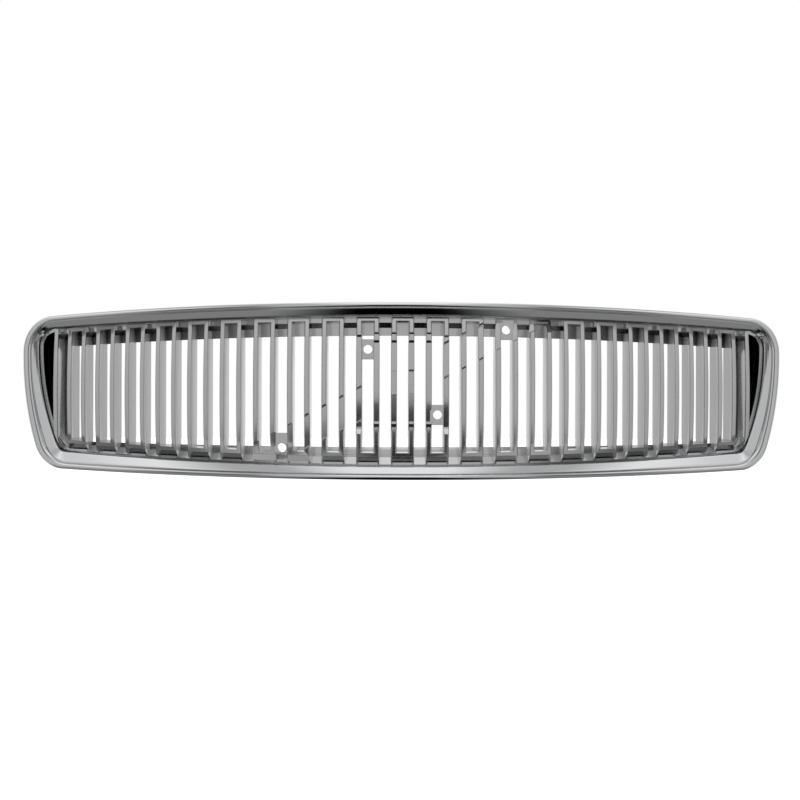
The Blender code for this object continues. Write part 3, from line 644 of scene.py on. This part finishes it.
def window_tool(sign, steps):
    """Cutter of the locating window."""
    centre, turn = window_place(sign, steps)
    hx, hz = WINDOW_SIZE[0] / 2, WINDOW_SIZE[1] / 2
    corners = [(-hx, -hz), (hx, -hz), (hx, hz), (-hx, hz)]
    sections = [[centre + turn @ Vector((u, y, v)) for u, v in corners] for y in (-0.008, 0.012)]
    return grow("window_tool", sections)


def window_pocket(sign, steps):
    """Dark back of the locating window, with a small bright facet in it."""
    centre, turn = window_place(sign, steps)
    reach = WINDOW_SIZE[0] * 0.8
    plate = [(-reach, 0.011), (reach, 0.011), (reach, 0.0125), (-reach, 0.0125)]
    floor = grow("pocket", [[centre + turn @ Vector((u, back + tilt, v)) for u, back in plate]
                            for v, tilt in ((-reach, 0.004), (reach, 0.0))])
    wide, high = WINDOW_SIZE[0] * 0.22, WINDOW_SIZE[1] * 0.30
    wedge = [(-high, 0.0045), (high, 0.0085), (high, 0.013), (-high, 0.013)]
    facet = grow("facet", [[centre + turn @ Vector((u + wide, back, v)) for v, back in wedge]
                           for u in (-wide, wide)])
    return [floor, facet]


class GRILLE_OT_surround(bpy.types.Operator):
    """Builds the plated surround with its beads, blades and bosses"""

    bl_idname = "grille.surround"
    bl_label = "Surround"

    def execute(self, context):
        steps = context.scene.grille_shape.outline_steps
        finish = context.scene.grille_finish
        rings = []
        for outline, depth in surround_section():
            rings.append([place(x, rear_depth(x) if depth is None else depth, z)
                          for x, z in outline_points(outline, steps)])
        shell = grow("shell", rings, ring=True)
        cut(shell, window_tool(-1, steps), window_tool(1, steps))
        parts = [shell] + window_pocket(-1, steps) + window_pocket(1, steps)
        parts += [boss(i, *screw) for i, screw in enumerate(screw_places(), 1)]
        parts += [blade(i, *clip) for i, clip in enumerate(clip_places(), 1)]
        surround = join("surround_finished", parts)
        plate = plating("bright_chrome", tuple(finish.surround_tint),
                        finish.surround_roughness, 0.02, 0.035)
        finish_piece(surround, plate, 32.0, "surround_chrome", "surround")
        return {"FINISHED"}


# ---------------------------------------------------------------- fin insert
def fin_x(index):
    """X of a fin's centre; the fins stand at equal steps along the plan circle."""
    return PLAN_RADIUS * math.sin(index * FIN_PITCH / PLAN_RADIUS)


def fin_face_depth(z):
    return FIN_SETBACK + z ** 2 / (2 * FIN_SIDE_RADIUS)


def fin_top(x):
    return top_edge(INSERT_EDGE, x) - FIN_MARGIN


def fin_bottom(x):
    return bottom_edge(INSERT_EDGE, x) + CHIN_GAP


def rounded_square_half(x, half, corner):
    """Half height at x of a rounded square, or nothing outside it."""
    if abs(x) >= half:
        return 0.0
    over = abs(x) - (half - corner)
    if over <= 0:
        return half
    return half - corner + math.sqrt(corner ** 2 - over ** 2)


def strip_span(x):
    """(low, high) of the strip's seat at x."""
    middle = SEAT_HEIGHT + STRIP_SLOPE * x
    half = STRIP_WIDTH / 2 * math.hypot(1, STRIP_SLOPE)
    return middle - half, middle + half


def end_sunk(x, upper):
    """How far the strip's seat sets back the upper or lower end of a hoop at x."""
    low, high = strip_span(x)
    middle = fin_bottom(x) + CHIN_HEIGHT + HOOP_BAR / 2
    if upper:
        middle = fin_top(x) - HOOP_BAR / 2
    return STRIP_DEPTH if low < middle < high and abs(x) < STRIP_END else 0.0


def recess_spans(x):
    """(low, high, depth, slope) of each seat that cuts into the fin at x."""
    spans = [(*strip_span(x), STRIP_DEPTH, STRIP_SLOPE)]
    for half, corner, depth in ((SEAT_HALF, SEAT_CORNER, SEAT_DEPTH),
                                (POCKET_HALF, SEAT_CORNER / 2, POCKET_DEPTH)):
        reach = rounded_square_half(x, half, corner)
        if reach:
            spans.append((SEAT_HEIGHT - reach, SEAT_HEIGHT + reach, depth, 0.0))
    if abs(x) < SOCKET_RADIUS:
        reach = math.sqrt(SOCKET_RADIUS ** 2 - x ** 2)
        spans.append((SEAT_HEIGHT - reach, SEAT_HEIGHT + reach, SOCKET_DEPTH, 0.0))
    low = fin_bottom(x) + CHIN_HEIGHT + HOOP_BAR
    high = fin_top(x) - HOOP_BAR
    clipped = [(max(a, low), min(b, high), depth, slope) for a, b, depth, slope in spans]
    return [span for span in clipped if span[1] - span[0] > 0.004]


def fin_levels(x, run):
    """(height, recess depth, slope) up a fin between the hoop's end bars.

    Each step into a seat starts with a chamfer and ends with a steep wall.
    """
    spans = recess_spans(x)
    low, high = fin_bottom(x) + CHIN_HEIGHT + HOOP_BAR, fin_top(x) - HOOP_BAR
    slopes = {z: span[3] for span in spans for z in span[:2] if low < z < high}
    steps = sorted(slopes)

    def sunk(z):
        deepest = max([depth for a, b, depth, _ in spans if a < z < b], default=0.0)
        below = SEAT_HEIGHT - z
        if abs(x) < SEAT_HALF and 0 < below < SEAT_HALF:
            deepest += below ** 2 / (2 * SEAT_FLOOR_RADIUS)
        return deepest

    levels = []
    for i, z in enumerate(steps):
        below, above = sunk(z - run / 8), sunk(z + run / 8)
        if abs(below - above) < run / 4:
            continue
        room = min([abs(z - other) for other in steps if other != z], default=run)
        size = min(run, room * 0.4)
        chamfer = min(size, abs(below - above) * 0.6)
        up = 1 if below > above else -1
        shallow, deep = min(below, above), max(below, above)
        levels += [(z - up * size * 0.15, deep, slopes[z]),
                   (z + up * size * 0.15, shallow + chamfer, slopes[z]),
                   (z + up * (size * 0.15 + chamfer * 0.85), shallow, slopes[z])]
    plain = 14
    for i in range(1, plain):
        z = low + (high - low) * i / plain
        if all(abs(z - step) > 2.5 * run for step in steps):
            levels.append((z, sunk(z), 0.0))
    return sorted(levels)


def bar_profile(sunk, edge):
    """(sideways offset, depth behind the face) across a bar: rear, flank, rounded face."""
    share = min(1.0, sunk / SHOULDER_DEPTH)
    face = (FIN_FACE + (FIN_SHOULDER - FIN_FACE) * share) / 2
    shoulder = SHOULDER_DEPTH * (1 - share) + 0.001
    return [(FIN_SHOULDER / 2 + 0.0001, shoulder), (face + 0.00002, edge),
            (face - 0.13 * edge, 0.5 * edge), (face - 0.5 * edge, 0.13 * edge),
            (face - edge, 0.0)]


REAR_DEPTH = FLANGE_FRONT + FLANGE + FIN_TAIL
RAIL_MIDDLE = FLANGE_FRONT + FLANGE / 2


def fin_column(x, run, edge):
    """Points (offset, depth, height, slope) up a fin, one list for each line along it."""
    levels = fin_levels(x, run)
    rows = []
    for z, sunk, slope in levels:
        face = fin_face_depth(z) + sunk
        half = [(offset, face + back) for offset, back in bar_profile(sunk, edge)]
        half = [(FIN_REAR / 2, REAR_DEPTH)] + half
        rows.append([(offset, depth, z, slope) for offset, depth in half])
    return rows


def hoop_rings(index, run, edge):
    """Rings round a hoop, from its inner rear edge over the face to its outer rear edge."""
    lines = 6
    rings = []
    left_x, right_x = fin_x(index - 0.5), fin_x(index + 0.5)
    columns = {x: fin_column(x, run, edge) for x in (left_x, right_x)}
    for line in list(range(lines)) + [-k - 1 for k in range(lines)]:
        outward = line < 0
        k = lines + line if outward else line
        ring = []
        for x, side in ((left_x, -1), (right_x, 1)):
            y0 = FRONT_Y + sweep(x)
            column = []
            offset_sign = side if outward else -side
            top_c, low = fin_top(x) - HOOP_BAR / 2, fin_bottom(x)
            profile = [(FIN_REAR / 2, 0.0)] + bar_profile(0.0, edge)
            offset, back = profile[k]

            def corner(z, sunk):
                return y0 + (fin_face_depth(z) + sunk + back if k else REAR_DEPTH)

            for u, depth, z, slope in (row[k] for row in columns[x]):
                px = x + offset_sign * u
                column.append(Vector((px, y0 + depth, z + slope * (px - x))))
            px = x + offset_sign * offset
            top_reach = min(offset, FIN_FACE / 2 + 0.0002)
            top_z = top_c + (top_reach if outward else -offset)
            column.append(Vector((px, corner(top_z, end_sunk(x, True)), top_z)))
            foot_c = low + CHIN_HEIGHT + HOOP_BAR / 2
            foot_sunk = end_sunk(x, False)
            if not outward:
                foot = Vector((px, corner(foot_c + offset, foot_sunk), foot_c + offset))
            elif k == 0:
                foot = Vector((px, y0 + REAR_DEPTH, low))
            elif k == 1:
                foot = Vector((px, y0 + fin_face_depth(foot_c) + CHIN_DEPTH, low))
            else:
                foot = Vector((px, corner(foot_c - offset, foot_sunk), foot_c - offset))
            column.insert(0, foot)
            ring += column if side < 0 else column[::-1]
        rings.append(ring)
    return rings


def upper_bridge_profile(front):
    """(depth, height) of a bridge between two hoops' tops: a flat face that slants back below."""
    height = BRIDGE_HEIGHT
    return [(RAIL_MIDDLE, 0.0), (front + 0.0004, 0.0), (front, -0.0004), (front, -height + 0.0005),
            (front + 0.0003, -height), (FLANGE_FRONT - 0.0003, -height - 0.0040),
            (RAIL_MIDDLE, -height - 0.0040)]


def lower_bridge_profile(front):
    """(depth, height) of a bridge between two hoops' feet: a ramp up to an undercut."""
    ramp = 0.0070
    return [(RAIL_MIDDLE, 0.0), (front + 0.0004, 0.0), (front, 0.0005), (front + 0.0004, 0.0010),
            (front + 0.0042, ramp), (FLANGE_FRONT + 0.0010, ramp + 0.0003),
            (FLANGE_FRONT - 0.0003, ramp + 0.0020), (RAIL_MIDDLE, ramp + 0.0020)]


def bridge(index, upper):
    sections = []
    for x in (fin_x(index - 0.5) + BAR_BITE, fin_x(index + 0.5) - BAR_BITE):
        y0 = FRONT_Y + sweep(x)
        if upper:
            edge = fin_top(x) - 0.0004
            face = fin_face_depth(fin_top(fin_x(index))) + BRIDGE_SETBACK
            profile = upper_bridge_profile(face)
        else:
            edge = fin_bottom(x) - 0.0022
            face = fin_face_depth(fin_bottom(fin_x(index)) + CHIN_HEIGHT) + BRIDGE_SETBACK
            profile = lower_bridge_profile(face)
        sections.append([Vector((x, y0 + depth, edge + dz)) for depth, dz in profile])
    return grow(f"bridge_{index}_{int(upper)}", sections)


def ring_front(x):
    """Front edge of the ring: behind the hoops, but brought forward as the end loops."""
    share = (abs(x) - fin_x(LAST_GAP)) / (FIN_PITCH * 0.4)
    share = min(1.0, max(0.0, share))
    return RING_FRONT + (fin_face_depth(OVERALL_HEIGHT / 3) - RING_FRONT) * share


def insert_ring(steps, edge):
    """L-shaped ring that carries the fins: a wall inside the surround and a rear flange.

    Below the opening the flange's front edge slopes down towards the bridges.
    """
    wall = inset(INSERT_EDGE, RING_WALL)
    rear = FLANGE_FRONT + FLANGE
    rail_step = inset(OPENING, -RAIL_STEP)
    rib = inset(INSERT_EDGE, -RIB_REACH)

    def front(back):
        return lambda x, z: ring_front(x) + back

    def at(depth):
        return lambda x, z: depth

    def sloped(x, z):
        return FLANGE_FRONT + (RAIL_LEAN if z < -OVERALL_HEIGHT / 4 else 0.0)

    lines = [(inset(INSERT_EDGE, edge), front(0.0)), (INSERT_EDGE, front(edge)),
             (INSERT_EDGE, at(RETURN_DEPTH + RIB_GAP)), (rib, at(RETURN_DEPTH + RIB_GAP)),
             (rib, at(rear - edge)), (inset(rib, edge), at(rear)),
             (inset(OPENING, -edge), at(rear)), (OPENING, at(rear - edge)),
             (OPENING, lambda x, z: sloped(x, z) + edge / 2), (inset(OPENING, -edge / 2), sloped),
             (rail_step, at(FLANGE_FRONT)), (inset(wall, 0.0016), at(FLANGE_FRONT)),
             (inset(wall, 0.0005), at(FLANGE_FRONT - 0.0005)), (wall, at(FLANGE_FRONT - 0.0016)),
             (wall, front(edge)), (inset(wall, -edge), front(0.0))]
    rings = []
    for outline, depth in lines:
        rings.append([place(x, depth(x, z), z) for x, z in outline_points(outline, steps)])
    return grow("insert_ring", rings, ring=True)


def foot_plate():
    """Flat plate across the feet that the strip's seat cuts away."""
    left, right = fin_x(-8.3), fin_x(-6.1)
    y = place((left + right) / 2, 0.0202, 0).y
    low = bottom_edge(INSERT_EDGE, left) + 0.0092
    plate = block("foot_plate", (left, y, low), (right, y + 0.0026, low + 0.0066), 0.0004)
    gap, hole_z, _ = tab_places()[-1]
    cut(plate, rod("hole", (fin_x(gap), y, hole_z), "Y", TAB_HOLE / 2 + 0.0003, 0.012, 40))
    return plate


def end_fin(sign, edge):
    """Inner bar of the end loop; its foot runs out into the slanted side of the ring."""
    x = sign * fin_x(LAST_GAP + 0.5)
    side_c = INSERT_EDGE.half - INSERT_EDGE.side_r
    reach = INSERT_EDGE.side_r - FIN_MARGIN
    flank = abs(x) - FIN_REAR / 2 + 0.001
    low = INSERT_EDGE.side_z - math.sqrt(reach ** 2 - (flank - side_c) ** 2)
    high = fin_top(x)
    y0 = FRONT_Y + sweep(x)
    sections = []
    count = 24
    for i in range(count + 1):
        z = low + (high - low) * i / count
        limit = side_edge(INSERT_EDGE, z) - FIN_MARGIN
        half = [(FIN_REAR / 2, REAR_DEPTH - fin_face_depth(z))] + bar_profile(0.0, edge)
        ring = []
        for offset, back in half:
            px = min(abs(x) - offset, limit - 0.0005)
            ring.append(Vector((sign * px, y0 + fin_face_depth(z) + back, z)))
        for offset, back in reversed(half):
            px = min(abs(x) + offset, limit)
            ring.append(Vector((sign * px, y0 + fin_face_depth(z) + back, z)))
        sections.append(ring)
    return grow("end_fin", sections)


def tab_places():
    """(fin gap, height of the hole, height of the tab's middle) of the four tabs."""
    above, below = SEAT_HEIGHT + EMBLEM_TAB_REACH, SEAT_HEIGHT - EMBLEM_TAB_REACH
    upper_end, lower_end = SEAT_HEIGHT + STRIP_TAB_UPPER, SEAT_HEIGHT - STRIP_TAB_LOWER
    return [(-2, above, above), (2, below, below),
            (6, upper_end, upper_end), (-7, lower_end, lower_end + TAB_HEIGHT / 4)]


def tab(gap, hole_z, z):
    """Flat tab between two fins with a pin hole."""
    x = fin_x(gap)
    front = place(x, fin_face_depth(hole_z) + TAB_SETBACK, 0).y
    low = (fin_x(gap - 0.5) + BAR_BITE, front, z - TAB_HEIGHT / 2)
    high = (fin_x(gap + 0.5) - BAR_BITE, front + TAB_THICKNESS, z + TAB_HEIGHT / 2)
    obj = block("tab", low, high, 0.0004)
    cut(obj, rod("hole", (x, front, hole_z), "Y", TAB_HOLE / 2, 4 * TAB_THICKNESS, 40))
    return obj


def ear(x, z, inward):
    """Flat ear that reaches from the flange over a boss."""
    y_front = boss_face(x) + FIT_GAP
    rear_y = y_front + EAR_THICKNESS
    if inward[0]:
        sign = math.copysign(1, x)
        root = sign * side_edge(inset(INSERT_EDGE, RING_WALL + EAR_ROOT), z)
        ring_x = sign * (side_edge(INSERT_EDGE, z) - RING_WALL / 4)
        tip = sign * (side_edge(inset(OUTER, SHELL), z) - EAR_SIDE_REACH)
        foot_y = place(root, FLANGE_FRONT + FLANGE / 2, 0).y
        plan = [(root, foot_y), (ring_x, foot_y), (ring_x, y_front), (tip, y_front),
                (tip, rear_y), (root, rear_y)]
        sections = [[Vector((px, py, z + level)) for px, py in plan]
                    for level in (-EAR_WIDTH / 2, EAR_WIDTH / 2)]
        obj = grow("ear", sections)
        soften(obj, 0.0003)
    else:
        edge = top_edge if inward[1] < 0 else bottom_edge
        zs = sorted((edge(inset(INSERT_EDGE, RING_WALL + EAR_ROOT), x),
                     edge(inset(OUTER, SHELL + EAR_GAP), x)))
        obj = block("ear", (x - EAR_WIDTH / 2, y_front, zs[0]),
                    (x + EAR_WIDTH / 2, rear_y, zs[1]), 0.0003)
    cut(obj, rod("hole", (x, y_front, z), "Y", SCREW_SHANK / 2 + 0.0006, 4 * EAR_THICKNESS))
    return obj


class GRILLE_OT_fin_insert(bpy.types.Operator):
    """Builds the plated fin insert: hoops, bridges, end loops, ring, tabs and ears"""

    bl_idname = "grille.fin_insert"
    bl_label = "Fin insert"

    def execute(self, context):
        shape = context.scene.grille_shape
        finish = context.scene.grille_finish
        ring = insert_ring(shape.outline_steps, 0.0004)
        for gap, z, _ in tab_places()[2:]:
            cut(ring, rod("hole", place(fin_x(gap), FLANGE_FRONT, z), "Y", TAB_HOLE / 2 + 0.0006,
                          6 * FLANGE, 40))
        parts = [ring]
        for index in range(-LAST_GAP, LAST_GAP + 1):
            if index % 2 == 0:
                parts.append(grow(f"hoop_{index}", hoop_rings(
                    index, shape.step_run, shape.edge_radius), ring=True))
            else:
                parts.append(bridge(index, True))
                if abs(index) < LAST_GAP:
                    parts.append(bridge(index, False))
        parts += [end_fin(sign, shape.edge_radius) for sign in (-1, 1)]
        parts += [tab(*where) for where in tab_places()]
        parts.append(foot_plate())
        parts += [ear(*where) for where in screw_places()]
        insert = join("fin_insert_finished", parts)
        plate = plating("fin_chrome", tuple(finish.insert_tint),
                        finish.insert_roughness, 0.03, 0.035)
        # painted shade deep in the end loops and on the upper rail towards the ends
        add_painted_pocket_shade(plate)
        finish_piece(insert, plate, 28.0, "insert_chrome", "fin_insert")
        return {"FINISHED"}


# ---------------------------------------------------------------- screws
def lathe(name, profile, sides):
    """A turned solid about Y from (radius, y) pairs."""
    sections = []
    for radius, y in profile:
        sections.append([Vector((radius * math.cos(2 * math.pi * i / sides), y,
                                 radius * math.sin(2 * math.pi * i / sides)))
                         for i in range(sides)])
    return grow(name, sections)


def screw_source():
    """Pan-head screw with a cross recess; its head stands behind the origin."""
    head, shank, top = SCREW_HEAD / 2, SCREW_SHANK / 2, SCREW_HEAD_HEIGHT
    profile = [(0.0003, -SCREW_LENGTH), (shank * 0.35, -SCREW_LENGTH * 0.98),
               (shank * 0.9, -SCREW_LENGTH * 0.82)]
    turns = 9
    for i in range(turns):
        y = -SCREW_LENGTH * (0.80 - 0.72 * i / turns)
        pitch = SCREW_LENGTH * 0.72 / turns
        profile += [(shank * 0.78, y), (shank, y + pitch * 0.45), (shank * 0.78, y + pitch * 0.9)]
    profile += [(shank * 0.8, -0.0001), (head, 0.0), (head, top * 0.30)]
    for i in range(1, 8):
        a = math.radians(90 * i / 8)
        profile.append((head * (0.45 + 0.55 * math.cos(a)), top * (0.30 + 0.70 * math.sin(a))))
    profile.append((head * 0.43, top))
    body = lathe("screw_source", profile, 32)
    arm, wide = head * 0.56, head * 0.17
    for size in ((arm, wide), (wide, arm)):
        cut(body, block("recess", (-size[0], top * 0.35, -size[1]),
                        (size[0], top * 1.3, size[1])))
    return body


class GRILLE_OT_screws(bpy.types.Operator):
    """Builds the twelve cross-head screws that hold the insert"""

    bl_idname = "grille.screws"
    bl_label = "Screws"

    def execute(self, context):
        source = screw_source()
        zinc = plating("zinc_plate", (0.60, 0.61, 0.60), 0.30, 0.08, 0.03)
        for number, (x, z, _) in enumerate(screw_places(), 1):
            screw = source.copy()
            screw.data = source.data.copy()
            screw.name = screw.data.name = f"insert_screw_{number:02d}_finished"
            context.scene.collection.objects.link(screw)
            screw.data.transform(Matrix.Translation(
                (x, boss_face(x) + EAR_THICKNESS + 2 * FIT_GAP, z)))
            finish_piece(screw, zinc, 30.0, "zinc_screw", f"insert_screw_{number:02d}")
        active(source)
        bpy.ops.object.delete()
        return {"FINISHED"}


class GRILLE_OT_clips(bpy.types.Operator):
    """Gives the spring clips their dark phosphate finish"""

    bl_idname = "grille.clips"
    bl_label = "Spring clips"

    def execute(self, context):
        steel = plating("phosphated_spring_steel", (0.20, 0.21, 0.22), 0.42, 0.25, 0.08)
        for number in range(1, len(clip_places()) + 1):
            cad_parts[f"spring_clip_{number}"].material_slots[0].material = steel
        return {"FINISHED"}


# ---------------------------------------------------------------- studio
def studio_world(scene):
    """White in the lens. Reflections see grey in front, white above and behind, dark below."""
    world = bpy.data.worlds.new("studio")
    scene.world = world
    world.use_nodes = True
    tree = world.node_tree

    sums = NodeSums(tree)
    maths, mapped = sums.maths, sums.mapped

    def mixed(factor, first, second):
        node = tree.nodes.new("ShaderNodeMix")
        tree.links.new(factor, node.inputs["Factor"])
        tree.links.new(first, node.inputs["A"])
        tree.links.new(second, node.inputs["B"])
        return node.outputs["Result"]

    def ramped(value, stops):
        node = tree.nodes.new("ShaderNodeValToRGB")
        elements = node.color_ramp.elements
        while len(elements) < len(stops):
            elements.new(0.5)
        for element, (position, shade) in zip(elements, stops):
            element.position = position
            element.color = (shade, shade, shade, 1.0)
        tree.links.new(value, node.inputs["Fac"])
        return node.outputs["Color"]

    side, back, up = sums.axes("Generated")
    aside = maths("ABSOLUTE", side)
    wall = maths("MULTIPLY", mapped(up, -0.4, 0.5, 0.52, 0.64), ramped(aside, (
        (0.0, 1.0), (0.34, 1.0), (0.42, 0.30), (0.62, 0.30), (0.76, 1.0))))
    sheet = ramped(aside, ((0.0, 1.0), (0.10, 1.0), (0.24, 0.50), (0.36, 0.50), (0.52, 1.0),
                           (0.75, 0.85), (0.94, 0.40)))
    open_sky = maths("MAXIMUM", mapped(back, -0.05, 0.25), mapped(up, 0.35, 0.7))
    ground = mapped(aside, 0.12, 0.26, 0.015, 0.26)
    value = mixed(mapped(up, -0.60, -0.42), ground, mixed(open_sky, wall, sheet))
    shadow = maths("MULTIPLY", mapped(aside, 0.085, 0.13, 1.0, 0.0),
                   mapped(up, -0.27, -0.19, 1.0, 0.0))
    shadow = maths("MULTIPLY", shadow, mapped(back, -0.15, 0.0, 1.0, 0.0))
    value = maths("MULTIPLY", value, mapped(shadow, 0.0, 1.0, 1.0, 0.05))
    rays = tree.nodes.new("ShaderNodeLightPath")
    seen = maths("MAXIMUM", value, rays.outputs["Is Camera Ray"])
    tree.links.new(seen, tree.nodes["Background"].inputs["Color"])


def studio_floor(drop):
    """Plain pale floor that lies below the grille and stays out of its reflections."""
    start()
    bpy.ops.mesh.primitive_plane_add(size=40.0)
    floor = bpy.context.object
    floor.name = "studio_floor"
    floor.location = (0, 0, CAD_BOX[0].z - drop)
    paint = bpy.data.materials.new("floor_paint")
    paint.use_nodes = True
    shader = paint.node_tree.nodes["Principled BSDF"]
    shader.inputs["Base Color"].default_value = (0.9, 0.9, 0.9, 1.0)
    shader.inputs["Roughness"].default_value = 0.9
    shader.inputs["Emission Color"].default_value = (1.0, 1.0, 1.0, 1.0)
    shader.inputs["Emission Strength"].default_value = 0.6
    floor.data.materials.append(paint)
    floor.visible_glossy = False


def studio_camera(scene, studio):
    """Camera in front of the grille, level and turned a little."""
    camera = bpy.data.cameras.new("studio_camera")
    camera.lens = studio.lens
    camera.sensor_width = 36.0
    camera.clip_end = 100.0
    obj = bpy.data.objects.new("studio_camera", camera)
    scene.collection.objects.link(obj)
    turn = (Matrix.Rotation(-studio.yaw, 4, "Z") @ Matrix.Rotation(math.pi / 2, 4, "X")
            @ Matrix.Rotation(studio.roll, 4, "Z"))
    obj.matrix_world = Matrix.Translation(
        (studio.camera_x, FRONT_Y - studio.distance, studio.camera_z)) @ turn
    scene.camera = obj


class GRILLE_OT_stage(bpy.types.Operator):
    """Sets up the white studio: floor, soft light and camera"""

    bl_idname = "grille.stage"
    bl_label = "Studio"

    def execute(self, context):
        scene = context.scene
        studio_world(scene)
        studio_floor(scene.grille_studio.floor_drop)
        studio_camera(scene, scene.grille_studio)
        scene.view_settings.view_transform = "Standard"
        return {"FINISHED"}


class GRILLE_PT_panel(bpy.types.Panel):
    """Lists the grille's build steps and settings"""

    bl_label = "Front grille"
    bl_idname = "GRILLE_PT_panel"
    bl_space_type = "VIEW_3D"
    bl_region_type = "UI"
    bl_category = "Grille"

    def draw(self, context):
        for group in (context.scene.grille_shape, context.scene.grille_finish,
                      context.scene.grille_studio):
            box = self.layout.box()
            for name in group.__annotations__:
                box.prop(group, name)
        for operator in OPERATORS:
            self.layout.operator(operator.bl_idname)


GROUPS = {"grille_shape": GrilleShape, "grille_finish": GrilleFinish,
          "grille_studio": GrilleStudio}
OPERATORS = (GRILLE_OT_surround, GRILLE_OT_fin_insert, GRILLE_OT_screws, GRILLE_OT_clips,
             GRILLE_OT_stage)


def register():
    for cls in (*GROUPS.values(), *OPERATORS, GRILLE_PT_panel):
        bpy.utils.register_class(cls)
    for name, group in GROUPS.items():
        setattr(bpy.types.Scene, name, bpy.props.PointerProperty(type=group))


def unregister():
    for name in GROUPS:
        delattr(bpy.types.Scene, name)
    for cls in reversed((*GROUPS.values(), *OPERATORS, GRILLE_PT_panel)):
        bpy.utils.unregister_class(cls)


def main():
    register()
    bpy.ops.grille.surround()
    bpy.ops.grille.fin_insert()
    bpy.ops.grille.screws()
    bpy.ops.grille.clips()
    bpy.ops.grille.stage()


if __name__ == "__main__":
    main()
